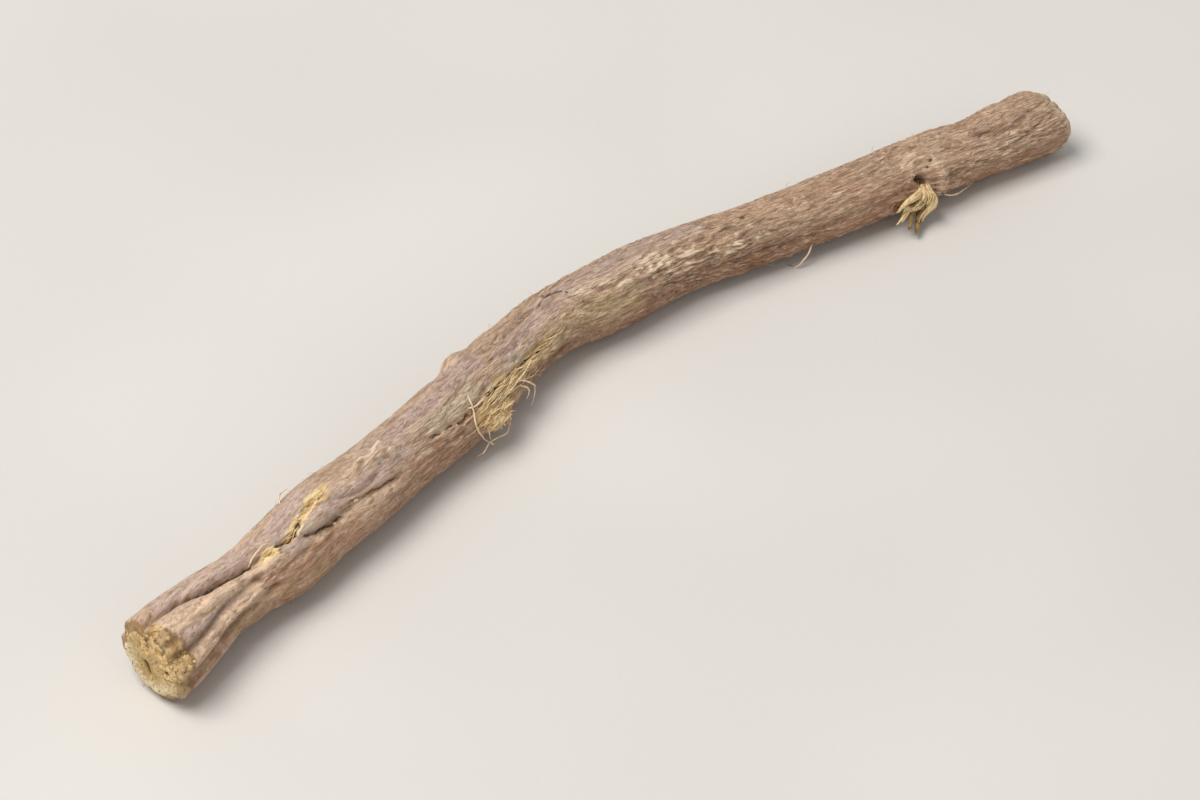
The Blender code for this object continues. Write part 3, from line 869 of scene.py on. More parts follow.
def bark_tree(bark, wood):
    """Wrinkles, creases and torn fibres pushed in and out of the surface, and bark and wood given to it."""
    tree, given = new_tree("bark relief", {
        "Wrinkle Length": 4.4,
        "Wrinkle Width": 0.62,
        "Wrinkle Depth": 0.2,
        "Fold Depth": 0.12,
        "Fine Depth": 0.14,
        "Crease Depth": 0.12,
        "Fibre Depth": 0.32,
        "Wood Grain Depth": 0.07,
        "Torn Wood Depth": 0.5,
        "Seed": 0,
        "Bark": bark,
        "Wood": wood,
    })
    straight = add(tree, "GeometryNodeInputNamedAttribute", {"Name": "straight"},
                   data_type="FLOAT_VECTOR")
    # Each seed takes its noise from another place, this far on.
    start = add(tree, "ShaderNodeCombineXYZ", {2: product(tree, given["Seed"], 40.0)}).outputs[0]
    place = vectors(tree, "ADD", straight.outputs[0], start)
    along = add(tree, "ShaderNodeSeparateXYZ", {0: place}).outputs[0]
    masks = {}
    for name in ("torn", "lilac", "green", "smooth", "cut", "rim", "olive", "crumbs"):
        found = add(tree, "GeometryNodeInputNamedAttribute", {"Name": name}, data_type="FLOAT")
        masks[name] = found.outputs[0]
    wavy = pushed_about(tree, place, 5.0, spread(tree, along, 70.0, 92.0, 1.0, 2.6), 0.7)
    length, width = given["Wrinkle Length"], given["Wrinkle Width"]
    folds = wrinkles(tree, wavy, product(tree, length, 2.4), product(tree, width, 2.6), 31.4)
    broad = wrinkles(tree, wavy, length, width, 0.3)
    fine = wrinkles(tree, wavy, product(tree, length, 0.45), product(tree, width, 0.5), 7.3)
    strands = wrinkles(tree, pushed_about(tree, place, 6.0, 1.1, 4.1), 8.0, 0.42, 13.1)
    creases = wrinkles(tree, wavy, 0.9, 4.5, 21.7, 0.0)

    # The bark is smoother in patches and over the near half.
    patches = pattern(tree, place, (15.0, 6.0, 6.0), 5.5, 0.38, 0.62)
    tinted = maths(tree, "MAXIMUM", masks["lilac"], masks["green"])
    smooth = maths(tree, "MAXIMUM", tinted, masks["smooth"])
    rough = product(
        tree,
        spread(tree, patches, 0.0, 1.0, 0.6, 1.05),
        spread(tree, along, 8.0, 95.0, 0.4, 1.05),
        spread(tree, smooth, 0.0, 1.0, 1.0, 0.4),
        spread(tree, masks["olive"], 0.0, 1.0, 1.0, 0.6),
    )
    few = pattern(tree, place, (5.0, 3.5, 3.5), 8.8, 0.5, 0.62)
    bark_height = total(
        tree,
        product(tree, given["Fold Depth"], rough, total(tree, folds, -0.75)),
        product(tree, given["Wrinkle Depth"], rough, total(tree, broad, -0.75)),
        product(tree, given["Fine Depth"], rough, total(tree, fine, -0.7)),
        product(tree, given["Crease Depth"], few, rough, total(tree, creases, -1.0)),
    )
    fibre_height = product(tree, given["Fibre Depth"], total(tree, strands, -0.65))
    grit = pattern(tree, place, (0.5, 0.5, 0.5), 2.2, 0.3, 0.7, 2.0)
    lumps = pattern(tree, place, (1.5, 1.2, 1.2), 6.6, 0.36, 0.64, 2.0)
    wood_height = total(
        tree,
        product(tree, given["Wood Grain Depth"], total(tree, grit, -0.5)),
        product(tree, given["Torn Wood Depth"], masks["crumbs"], total(tree, lumps, -0.6)),
    )
    torn = spread(tree, masks["torn"], 0.25, 0.7)
    first = add(tree, "ShaderNodeMix", {0: torn, 2: bark_height, 3: fibre_height}, data_type="FLOAT")
    second = add(tree, "ShaderNodeMix", {0: masks["cut"], 2: first.outputs[0], 3: wood_height},
                 data_type="FLOAT")
    relief = second.outputs[0]

    kept = add(tree, "GeometryNodeStoreNamedAttribute", {
        "Geometry": given["Geometry"], "Name": "relief", "Value": relief,
    }, data_type="FLOAT", domain="POINT")
    normal = add(tree, "GeometryNodeInputNormal")
    push = vectors(tree, "SCALE", normal.outputs[0], product(tree, relief, MM))
    moved = add(tree, "GeometryNodeSetPosition", {"Geometry": kept.outputs[0], "Offset": push})
    shaded = add(tree, "GeometryNodeSetShadeSmooth", {"Geometry": moved.outputs[0], "Shade Smooth": True})
    barked = add(tree, "GeometryNodeSetMaterial", {
        "Geometry": shaded.outputs[0], "Material": given["Bark"],
    })
    # The torn edge between bark and cut wood is broken up by noise.
    ragged = pattern(tree, place, (0.8, 0.8, 0.8), 4.4, 0.3, 0.7)
    edge = total(tree, masks["cut"], product(tree, total(tree, ragged, -0.5), RAGGED_EDGE))
    past_edge = add(tree, "FunctionNodeCompare", {0: edge, 1: WOOD_LEVEL}, data_type="FLOAT",
                    operation="GREATER_THAN")
    on_face = add(tree, "FunctionNodeCompare", {0: masks["rim"], 1: INSIDE_RIM}, data_type="FLOAT",
                  operation="LESS_THAN")
    either = add(tree, "FunctionNodeBooleanMath", {0: past_edge.outputs[0], 1: on_face.outputs[0]},
                 operation="OR")
    wooded = add(tree, "GeometryNodeSetMaterial", {
        "Geometry": barked.outputs[0], "Selection": either.outputs[0], "Material": given["Wood"],
    })
    real = add(tree, "GeometryNodeRealizeInstances", {"Geometry": wooded.outputs[0]})
    add(tree, "NodeGroupOutput", {"Geometry": real.outputs[0]})
    return tree


# A strand bends about this often along its way, and at a curl of 1 it strays this far, in millimetres.
STRAND_BEND = 1.1
STRAND_STRAY = 2


def strand_of(tree, curve, radius, curl, sides, seed):
    """A tube along each curve that thins towards its ends, with the curve bent about by noise."""
    along = add(tree, "GeometryNodeSplineParameter").outputs["Factor"]
    where = add(tree, "GeometryNodeInputPosition").outputs[0]
    scaled = vectors(tree, "SCALE", where, 1 / (STRAND_BEND * MM))
    noise = add(tree, "ShaderNodeTexNoise", {
        "Vector": scaled, "W": seed, "Scale": 1.0, "Detail": 1.0,
    }, noise_dimensions="4D")
    amount = product(tree, spread(tree, along, 0.0, 0.5), curl, STRAND_STRAY * MM)
    offset = push_from(tree, noise, amount)
    bent = add(tree, "GeometryNodeSetPosition", {"Geometry": curve, "Offset": offset})
    root_end, tip = spread(tree, along, 0.0, 0.12, 0.6, 1.0), spread(tree, along, 0.45, 1.0, 1.0, 0.25)
    circle = add(tree, "GeometryNodeCurvePrimitiveCircle", {"Resolution": sides, "Radius": 1.0})
    tube = add(tree, "GeometryNodeCurveToMesh", {
        "Curve": bent.outputs[0],
        "Profile Curve": circle.outputs[0],
        "Scale": product(tree, root_end, tip, radius, MM),
        "Fill Caps": True,
    })
    smooth = add(tree, "GeometryNodeSetShadeSmooth", {"Geometry": tube.outputs[0], "Shade Smooth": True})
    return smooth.outputs[0]


def scattered(tree, given, mask_start):
    """Points strewn on the surface where its mask is high, and the turn of each that stands a piece up on
    the surface with its x axis along the grain."""
    mask = add(tree, "GeometryNodeInputNamedAttribute", {"Name": given["Mask"]}, data_type="FLOAT")
    share = spread(tree, mask.outputs[0], mask_start, 0.8)
    points = add(tree, "GeometryNodeDistributePointsOnFaces", {
        "Mesh": given["Geometry"],
        "Density": product(tree, share, given["Per Square Millimetre"], 1 / MM**2),
        "Seed": given["Seed"],
    })
    grain = add(tree, "GeometryNodeInputNamedAttribute", {"Name": "grain"}, data_type="FLOAT_VECTOR")
    facing = add(tree, "FunctionNodeAxesToRotation", {
        "Primary Axis": points.outputs["Normal"], "Secondary Axis": grain.outputs[0],
    }, primary_axis="Z", secondary_axis="X")
    return points.outputs[0], facing.outputs[0]


def fuzz_tree(material):
    """Short fibres that stand on the surface where the mask is high, most of them lying along the grain."""
    tree, given = new_tree("fibres on the bark", {
        "Mask": "torn",
        "Per Square Millimetre": 1.0,
        "Shortest": 0.8,
        "Longest": 3.0,
        "Radius": 0.05,
        "Swing": 0.3,
        "Lift": 0.35,
        "Curl": 0.4,
        "Sides": 4,
        "Seed": 1,
        "Material": material,
    })
    points, facing = scattered(tree, given, 0.3)
    seed = given["Seed"]
    wide = drawn(tree, product(tree, given["Swing"], -1.0), given["Swing"], seed)
    lowest, highest = product(tree, given["Lift"], -1.0), product(tree, given["Lift"], -0.1)
    lift = drawn(tree, lowest, highest, total(tree, seed, 5))
    # Half of them lie the other way along the grain.
    flip = maths(tree, "GREATER_THAN", drawn(tree, 0.0, 1.0, total(tree, seed, 9)), 0.5)
    swing = total(tree, wide, product(tree, flip, math.pi))
    turned = add(tree, "ShaderNodeCombineXYZ", {1: lift, 2: swing})
    by = add(tree, "FunctionNodeEulerToRotation", {0: turned.outputs[0]})
    rotation = add(tree, "FunctionNodeRotateRotation", {"Rotation": facing, "Rotate By": by.outputs[0]},
                   rotation_space="LOCAL")
    reach = drawn(tree, given["Shortest"], given["Longest"], total(tree, seed, 3))
    # A shallow arch one unit long, which leaves the surface and comes back towards it.
    arch = add(tree, "GeometryNodeCurveQuadraticBezier", {
        "Resolution": 7, "Start": (0.0, 0.0, -0.04), "Middle": (0.5, 0.0, 0.16), "End": (1.0, 0.0, 0.02),
    })
    placed = add(tree, "GeometryNodeInstanceOnPoints", {
        "Points": points,
        "Instance": arch.outputs[0],
        "Rotation": rotation.outputs[0],
        "Scale": product(tree, reach, MM),
    })
    real = add(tree, "GeometryNodeRealizeInstances", {"Geometry": placed.outputs[0]})
    tube = strand_of(tree, real.outputs[0], given["Radius"], given["Curl"], given["Sides"], seed)
    end_tree(tree, tube, given["Material"])
    return tree


def strand_tree(material):
    """A thin tube along each line of the mesh, for fibres that are placed one by one."""
    tree, given = new_tree("placed fibres", {
        "Radius": 0.1, "Curl": 0.15, "Points": 24, "Sides": 6, "Seed": 1, "Material": material,
    })
    line = add(tree, "GeometryNodeMeshToCurve", {"Mesh": given["Geometry"]})
    curve = add(tree, "GeometryNodeCurveSplineType", {"Curve": line.outputs[0]}, spline_type="CATMULL_ROM")
    even = add(tree, "GeometryNodeResampleCurve", {"Curve": curve.outputs[0], "Count": given["Points"]})
    tube = strand_of(tree, even.outputs[0], given["Radius"], given["Curl"], given["Sides"], given["Seed"])
    end_tree(tree, tube, given["Material"])
    return tree


# A fleck's dents are about this wide, and this is how far they move its surface, in millimetres.
FLECK_DENT_WIDTH = 0.5
FLECK_DENT_DEPTH = 0.7


def fleck_tree(material):
    """Small flat lumps set into the surface where the mask is high, longer along the grain."""
    tree, given = new_tree("flecks on the bark", {
        "Mask": "flecks",
        "Per Square Millimetre": 0.1,
        "Smallest": 0.25,
        "Largest": 0.6,
        "Width": 0.55,
        "Height": 0.3,
        "Seed": 1,
        "Material": material,
    })
    points, facing = scattered(tree, given, 0.2)
    size = drawn(tree, given["Smallest"], given["Largest"], total(tree, given["Seed"], 3))
    lump = add(tree, "GeometryNodeMeshIcoSphere", {"Radius": 1.0, "Subdivisions": 2})
    shape = add(tree, "ShaderNodeCombineXYZ", {0: 1.0, 1: given["Width"], 2: given["Height"]})
    scale = vectors(tree, "SCALE", shape.outputs[0], product(tree, size, MM))
    placed = add(tree, "GeometryNodeInstanceOnPoints", {
        "Points": points,
        "Instance": lump.outputs[0],
        "Rotation": facing,
        "Scale": scale,
    })
    real = add(tree, "GeometryNodeRealizeInstances", {"Geometry": placed.outputs[0]})
    where = add(tree, "GeometryNodeInputPosition").outputs[0]
    scaled = vectors(tree, "SCALE", where, 1 / (FLECK_DENT_WIDTH * MM))
    noise = add(tree, "ShaderNodeTexNoise", {"Vector": scaled, "Scale": 1.0, "Detail": 1.0})
    offset = push_from(tree, noise, FLECK_DENT_DEPTH * MM)
    rough = add(tree, "GeometryNodeSetPosition", {"Geometry": real.outputs[0], "Offset": offset})
    smooth = add(tree, "GeometryNodeSetShadeSmooth", {"Geometry": rough.outputs[0], "Shade Smooth": True})
    end_tree(tree, smooth.outputs[0], given["Material"])
    return tree


# Materials


def new_material(name, roughness, ior):
    """A material with its shader, whose plain values are set on the shader's own sockets."""
    material = bpy.data.materials.new(name)
    material.use_nodes = True
    tree = material.node_tree
    shader = tree.nodes["Principled BSDF"]
    shader.inputs["Roughness"].default_value = roughness
    shader.inputs["IOR"].default_value = ior
    return material, tree, shader


def place_on_piece(tree):
    """The place in a piece's own coordinates, in millimetres."""
    metres = add(tree, "ShaderNodeTexCoord").outputs["Object"]
    return vectors(tree, "SCALE", metres, 1 / MM)


def finish_material(tree, shader, colour, roughness, height, depth, strength):
    """Gives the shader its colour and roughness, and shading from a relief this deep in millimetres."""
    tree.links.new(colour, shader.inputs["Base Color"])
    tree.links.new(roughness, shader.inputs["Roughness"])
    bump = add(tree, "ShaderNodeBump", {"Height": height, "Distance": depth * MM, "Strength": strength})
    tree.links.new(bump.outputs[0], shader.inputs["Normal"])


def bark_material():
    """Cork: the dry skin of the root, shrunk into wrinkles as it dried. It is matt, with pinkish, grey and
    olive patches and short pale streaks. Painted shade darkens its grooves, cracks and underside, and
    painted highlight lightens its ridges and folds; the grey is partly painted sky sheen."""
    material, tree, shader = new_material("dried_root_cork", 0.85, 1.45)
    place = add(tree, "ShaderNodeAttribute", attribute_name="straight").outputs["Vector"]
    read = {
        name: add(tree, "ShaderNodeAttribute", attribute_name=name).outputs["Fac"]
        for name in (
            "relief", "form", "cut", "torn", "pink", "lilac", "green", "olive", "red", "cream", "dark",
        )
    }
    parts = add(tree, "ShaderNodeSeparateXYZ", {0: place}).outputs
    ragged = pattern(tree, place, (2.2, 0.7, 0.7), 1.7, 0.3, 0.7)
    uneven = product(tree, total(tree, ragged, -0.5), 0.55)

    def patch(name, strength):
        """A tint's share, with its edge broken into streaks."""
        return product(tree, spread(tree, total(tree, read[name], uneven), 0.3, 0.75), strength)

    # Thicker and thinner cork, dust on it, streaks where its ridges are rubbed, and specks.
    blotches = pattern(tree, place, (13.0, 4.5, 4.5), 3.1, 0.35, 0.65)
    clouds = pattern(tree, place, (5.0, 2.2, 2.2), 9.4, 0.35, 0.65)
    streaks = pattern(tree, place, (4.0, 0.55, 0.55), 6.2, 0.38, 0.66, 2.0)
    specks = pattern(tree, place, (1.5, 0.42, 0.42), 4.9, 0.6, 0.74)
    # Wrinkles too fine for the surface: 0.36 mm across and 2.8 mm long.
    hairlines = wrinkles(tree, pushed_about(tree, place, 3.0, 0.7, 2.2), 2.8, 0.36, 5.1)
    valley_shade = total(tree, 1.0, product(tree, hairlines, -1.0))
    far_half = spread(tree, parts[0], 70.0, 115.0, 0.1, 0.8)
    wrinkled = spread(tree, parts[0], 8.0, 95.0, 0.45, 1.0)
    brown_streaks = pattern(tree, place, (5.0, 0.42, 0.42), 11.3, 0.52, 0.7, 2.0)
    mottling = pattern(tree, place, (0.9, 0.6, 0.6), 12.9, 0.35, 0.65)
    # Pores and lifted flakes of cork, both under a millimetre long and lying along the grain.
    pores = pattern(tree, place, (0.75, 0.34, 0.34), 14.2, 0.55, 0.7)
    flakes = pattern(tree, place, (0.9, 0.3, 0.3), 16.4, 0.58, 0.7)
    # Painted shade: the underside is darker and browner, most on the side towards -Y.
    underside_shade = spread(tree, total(tree, parts[2], product(tree, parts[1], 0.6)), 0.5, -5.5)
    # Masks for painted highlight on the high places and painted shade in the low places, cracks and furrows
    ridge_highlight = spread(tree, read["relief"], 0.0, 0.12)
    groove_shade = spread(tree, read["relief"], -0.05, -0.3)
    raised = spread(tree, read["relief"], -0.08, 0.04)
    crack_shade = total(tree, read["dark"], uneven)
    fold_highlight = spread(tree, read["form"], 0.0, 0.5)
    furrow_shade = spread(tree, read["form"], -0.25, -1.0)

    skin_colour = layered(tree, "#c9ab92", (
        ("#cba286", far_half),
        ("#ae9380", product(tree, blotches, 0.55)),
        ("#dcc0a3", product(tree, clouds, 0.5)),
        # Patches of bark in another tint; the lilac is partly painted sky sheen on the top, the browner
        # underside is painted shade, and the red is partly painted warm shade
        ("#c7b2ac", patch("lilac", 0.85)),
        ("#f3d3b6", patch("pink", 0.9)),
        ("#c8bda6", patch("green", 0.9)),
        ("#d2bd8e", patch("olive", 0.75)),
        ("#9c6e51", product(tree, underside_shade, 0.85)),
        ("#af795c", patch("red", 0.6)),
        # Painted highlight on the raised folds, then streaks and flecks
        ("#ebcdae", product(tree, fold_highlight, 0.45)),
        ("#dfc4a8", product(tree, streaks, 0.45)),
        ("#94745c", product(tree, brown_streaks, wrinkled, 0.45)),
        ("#ab8d76", product(tree, mottling, 0.24)),
        ("#7d604b", product(tree, pores, 0.4)),
        ("#ead6c2", product(tree, flakes, 0.4)),
        # Painted highlight on the ridges, and painted shade in the wrinkle valleys, furrows and grooves
        ("#e9d2b7", product(tree, ridge_highlight, 0.5)),
        ("#7b5f49", product(tree, valley_shade, wrinkled, 0.36)),
        ("#6b4f3b", product(tree, furrow_shade, 0.42)),
        ("#553d2c", product(tree, groove_shade, 0.6)),
        # Marks placed one by one, partly painted highlight on ridges and painted shade in cracks, pits and
        # gaps, and the bark's edge at both ends
        ("#f3dfc3", product(tree, patch("cream", 1.0), raised)),
        ("#ecd3b5", product(tree, specks, far_half, 0.7)),
        ("#4f3b29", product(tree, spread(tree, crack_shade, 0.4, 0.85), 0.85)),
        ("#8d6b48", spread(tree, total(tree, read["cut"], uneven), 0.0, 0.45, 0.0, 0.8)),
        ("#e4ceb0", spread(tree, total(tree, parts[0], uneven), 166.8, 167.8, 0.0, 0.65)),
    ))
    torn = patch("torn", 1.0)
    strands = pattern(tree, place, (6.0, 0.35, 0.35), 7.7, 0.35, 0.65)
    torn_colour = layered(tree, "#dcb886", (
        ("#f3d8a4", product(tree, strands, 0.8)),
        ("#c4a766", product(tree, clouds, 0.3)),
        # Painted shade in the low places and cracks of the torn bark
        ("#94703e", spread(tree, read["relief"], -0.02, -0.2, 0.0, 0.7)),
        ("#f8e4ae", patch("cream", 0.75)),
        ("#4f3418", product(tree, spread(tree, crack_shade, 0.35, 0.8), 0.9)),
    ))
    colour = layered(tree, skin_colour, ((torn_colour, torn),))

    rubbed = pattern(tree, place, (3.0, 1.2, 1.2), 5.0, 0.3, 0.7, 0.0)
    roughness = total(tree, product(tree, rubbed, 0.14), 0.72, product(tree, read["lilac"], -0.06))
    # Grains about 0.25 mm, the smallest that the picture shows.
    grain = pattern(tree, place, (0.3, 0.25, 0.25), 3.3, 0.2, 0.8)
    height = total(
        tree,
        product(tree, hairlines, wrinkled, 1.6),
        product(tree, streaks, 0.5),
        product(tree, grain, 0.6),
        product(tree, pores, -0.7),
    )
    finish_material(tree, shader, colour, roughness, height, 0.07, 0.9)
    return material


# The turn of the middle of the pale band on the flared cut face.
PALE_BAND_TURN = -70


def wood_material():
    """Root wood cut across with a knife. It is pale yellow and dull, with fine rays from the middle, faint
    growth rings, open vessels, an ochre torn part and a paler band of inner bark under the rim. Painted
    shade darkens its sunk places, pits and cracks, and the far face is painted paler against the shade it
    lies in."""
    material, tree, shader = new_material("cut_root_wood", 0.8, 1.45)
    read = {
        name: add(tree, "ShaderNodeAttribute", attribute_name=name).outputs["Fac"]
        for name in ("rim", "relief", "crumbs", "hollow", "cut")
    }
    place = add(tree, "ShaderNodeAttribute", attribute_name="straight").outputs["Vector"]
    rim = read["rim"]
    parts = add(tree, "ShaderNodeSeparateXYZ", {0: place}).outputs
    turn = maths(tree, "ARCTAN2", parts[2], parts[1])
    from_band = total(tree, turn, math.radians(-PALE_BAND_TURN))
    band_side = maths(tree, "COSINE", from_band)
    # 1 on the flared cut face and 0 on the far one.
    near = spread(tree, parts[0], 60.0, 20.0)
    blotches = pattern(tree, place, (2.2, 1.6, 1.6), 2.4, 0.35, 0.65)
    grit = pattern(tree, place, (0.5, 0.45, 0.45), 5.1, 0.35, 0.65)
    patches = pattern(tree, place, (1.8, 1.3, 1.3), 7.9, 0.45, 0.6)
    # About 44 rays round the face, and rings half a millimetre apart: fewer and coarser than in the real
    # wood, so that they show.
    ray_place = add(tree, "ShaderNodeCombineXYZ", {
        0: product(tree, turn, 7.0), 1: product(tree, rim, 1.4), 2: parts[0],
    })
    rays = pattern(tree, ray_place.outputs[0], (1.0, 1.0, 9.0), 1.0, 0.42, 0.6)
    ring_place = add(tree, "ShaderNodeCombineXYZ", {0: product(tree, rim, 9.0), 1: parts[0]})
    rings = pattern(tree, ring_place.outputs[0], (1.0, 40.0, 1.0), 6.0, 0.4, 0.62)
    # Vessels are open tubes up to 0.2 mm wide, drawn 0.3 mm wide so that they show.
    vessels = pattern(tree, place, (0.3, 0.3, 0.3), 8.0, 0.64, 0.72, 0.0)
    ochre = product(
        tree, spread(tree, total(tree, read["crumbs"], product(tree, blotches, 0.3)), 0.3, 0.9), near
    )
    band = product(tree, spread(tree, rim, 0.5, 0.74), spread(tree, band_side, -0.3, 0.3), near)
    far_band = product(tree, spread(tree, rim, 0.72, 0.9), spread(tree, near, 0.0, 1.0, 0.6, 0.0))
    colour = layered(tree, "#c6aa7a", (
        ("#ad8f58", product(tree, blotches, 0.6)),
        ("#dfc48e", product(tree, rays, 0.5)),
        ("#a5854c", product(tree, rings, 0.35)),
        ("#dfbf88", product(tree, ochre, 0.75)),
        ("#d2a05a", product(tree, ochre, patches, 0.6)),
        ("#f2d8a8", product(tree, ochre, grit, 0.45)),
        ("#e0cfaa", product(tree, band, 0.9)),
        # Painted light: the far face is paler, to offset the shade it lies in.
        ("#dcc9a6", spread(tree, near, 0.0, 1.0, 0.4, 0.0)),
        ("#dfcba6", far_band),
        ("#9a7648", product(tree, spread(tree, read["cut"], 1.0, 0.6), near, 0.7)),
        ("#7a5c30", product(tree, vessels, 0.6)),
        # Painted shade where the face is sunk
        ("#94703c", spread(tree, read["relief"], -0.05, -0.25, 0.0, 0.6)),
        # Painted shade in the pits and cracks of the flared face
        ("#3a2812", spread(tree, read["hollow"], 0.2, 0.9, 0.0, 0.95)),
        ("#7a5c44", product(tree, spread(tree, rim, 0.965, 0.995), near, 0.45)),
    ))
    roughness = total(tree, 0.7, product(tree, blotches, 0.2))
    height = total(tree, grit, product(tree, rays, 0.6), product(tree, vessels, -1.2))
    finish_material(tree, shader, colour, roughness, height, 0.07, 0.8)
    return material


def fibre_material(name, dark, middle, pale):
    """Bast fibre: strands of inner bark pulled out where it tore. They are straw coloured and dull, and
    darker in places. Flecks of cork, crumbs of wood and the rootlet's strands differ from it in colour."""
    material, tree, shader = new_material(name, 0.75, 1.5)
    place = place_on_piece(tree)
    wide = pattern(tree, place, (0.9, 0.9, 0.9), 1.0, 0.35, 0.65)
    small = pattern(tree, place, (0.3, 0.3, 0.3), 2.0, 0.35, 0.65)
    colour = layered(tree, middle, (
        (dark, product(tree, wide, 0.75)),
        (pale, product(tree, small, 0.7)),
    ))
    finish_material(tree, shader, colour, total(tree, 0.66, product(tree, small, 0.2)), small, 0.03, 0.6)
    return material


def floor_material():
    """Matt painted board: near white and dull, with a tooth about 1 mm wide that only just shows."""
    material, tree, shader = new_material("matt_painted_board", 0.9, 1.45)
    place = place_on_piece(tree)
    tooth = pattern(tree, place, (1.0, 1.0, 1.0), 1.0, 0.3, 0.7)
    broad = pattern(tree, place, (60.0, 60.0, 60.0), 2.0, 0.3, 0.7)
    colour = layered(tree, "#dedcd8", (("#d8d6d2", broad),))
    finish_material(tree, shader, colour, total(tree, 0.84, product(tree, tooth, 0.1)), tooth, 0.03, 0.3)
    return material


# Pieces


def keep_in_the_box(piece):
    """Holds the surface on the table and inside the room round the solid's box."""
    low, high = cad_box[0] - ROOM, cad_box[1] + ROOM
    low.z = 0.0
    mesh = piece.data
    places = np.empty(len(mesh.vertices) * 3, np.float32)
    mesh.vertices.foreach_get("co", places)
    places = np.clip(places.reshape(-1, 3), np.array(low), np.array(high))
    mesh.vertices.foreach_set("co", places.astype(np.float32).ravel())
    mesh.update()


def point_on_bark(along, turn, lift, stand):
    """A point this far above the bark, in metres."""
    places = np.array([along], float)
    rows = on_the_surface(skin(places, np.array([math.radians(turn)]), True), places, stand)
    _, _, side, up, _ = centreline(places)
    out = math.cos(math.radians(turn)) * side[0] + math.sin(math.radians(turn)) * up[0]
    return (rows[0, 0] + lift * out) * MM


def line_mesh(name, lines):
    """A mesh of open lines through these points."""
    verts, edges = [], []
    for line in lines:
        start = len(verts)
        verts.extend([tuple(point) for point in line])
        edges.extend((start + i, start + i + 1) for i in range(len(line) - 1))
    mesh = bpy.data.meshes.new(name)
    mesh.from_pydata(verts, edges, [])
    return mesh


def finish_piece(piece, *nodes):
    """Keeps a piece in the solid's box, says what it rides on, and hides the parts of the solid that it
    stands for.
    """
    keep_in_the_box(piece)
    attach(piece, BODY)
    if nodes:
        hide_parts(*nodes)


# Fibres placed one by one, through places (along, turn, lift above the bark in millimetres).
LOOSE_FIBRES = {
    "hanging loop, near side": ((61.0, 118, 0.0), (60.4, 130, 0.35), (60.2, 142, 0.4), (59.4, 156, 0.4),
                                (59.6, 176, 0.5), (60.8, 196, 0.7), (62.0, 208, 1.3)),
    "hanging loop, far side": ((62.0, 208, 1.3), (63.2, 206, 1.5), (64.6, 202, 1.4), (66.2, 202, 0.8),
                               (67.2, 200, 0.4), (67.6, 192, 0.1)),
    "fork of the loop": ((62.0, 208, 1.2), (60.8, 214, 1.4), (59.6, 216, 1.3)),
    "other fork of it": ((62.0, 208, 1.2), (62.9, 216, 1.5), (63.8, 220, 1.5)),
    "second loop": ((69.4, 157, 0.0), (70.4, 163, 0.5), (71.6, 176, 0.9), (72.2, 190, 1.0),
                    (71.6, 200, 1.4), (70.8, 204, 1.7)),
    "thread in that loop": ((69.8, 168, 0.0), (70.6, 176, 0.5), (70.8, 186, 0.8), (70.2, 194, 0.8)),
    "curl by the patch": ((59.8, 133, 0.0), (60.8, 138, 0.6), (62.2, 138, 0.7), (63.2, 143, 0.1)),
    "thread over the patch": ((75.8, 150, 0.0), (72.0, 155, 0.6), (68.0, 157, 0.5), (64.0, 163, 0.1)),
    "hook at the knob of fibres": ((67.8, 196, 0.0), (67.0, 206, 0.5), (66.0, 212, 0.7), (66.2, 206, 0.3)),
    "hair under the far half": ((125.3, 205, -0.1), (124.2, 212, 1.0), (123.0, 224, 1.7), (122.4, 236, 1.6),
                                (121.8, 244, 0.8)),
    "curl over the strip": ((29.6, 52, 0.0), (30.4, 46, 0.5), (31.4, 43, 0.7), (32.0, 48, 0.5),
                            (31.4, 54, 0.1)),
    "thread by the rootlet": ((147.0, 196, 0.0), (149.0, 204, 0.7), (151.4, 208, 0.6), (152.6, 206, 0.1)),
    "thread from the split": ((18.2, 104, 0.0), (19.6, 99, 0.5), (21.4, 98, 0.6), (22.6, 102, 0.1)),
}

# The torn rootlet: bundles of strands, with how wide each is where it starts and at its tip, and the places
# (along, turn, lift) that it runs through. Its core is darker wood that shows between them and below.
ROOTLET_BUNDLES = {
    "upper finger": (0.6, 0.2, ((143.4, 174, 0.1), (141.6, 174, 0.9), (140.1, 175, 0.9), (139.1, 178, 0.9),
                                (138.3, 187, 1.2))),
    "lower finger": (0.6, 0.22, ((143.3, 180, 0.3), (141.4, 189, 1.0), (140.2, 194, 1.1), (139.1, 195, 1.5),
                                 (137.8, 198, 1.8))),
    "outer finger": (0.75, 0.3, ((144.2, 178, 0.1), (144.3, 186, 1.1), (143.8, 194, 1.7), (142.4, 201, 2.4),
                                 (141.3, 202, 3.0))),
    "palm": (0.8, 0.6, ((143.9, 172, 0.0), (143.5, 181, 1.1), (142.8, 189, 1.5))),
    "side of the palm": (0.7, 0.4, ((143.5, 171, 0.1), (142.7, 177, 0.9), (141.9, 183, 1.2))),
}
ROOTLET_CORE = {
    "wood between the fingers": (0.7, 0.4, ((143.2, 182, 0.2), (141.6, 187, 0.8), (140.5, 189, 0.9))),
    "first stem": (0.45, 0.16, ((142.4, 188, 0.8), (141.0, 199, 1.3), (139.9, 201, 2.1),
                                (139.0, 201, 3.0))),
    "second stem": (0.5, 0.2, ((143.0, 195, 1.0), (142.1, 205, 1.8), (140.9, 205, 2.9),
                               (139.6, 204, 3.9))),
}
STRANDS_PER_BUNDLE = 9
ROOTLET_SEED = 11


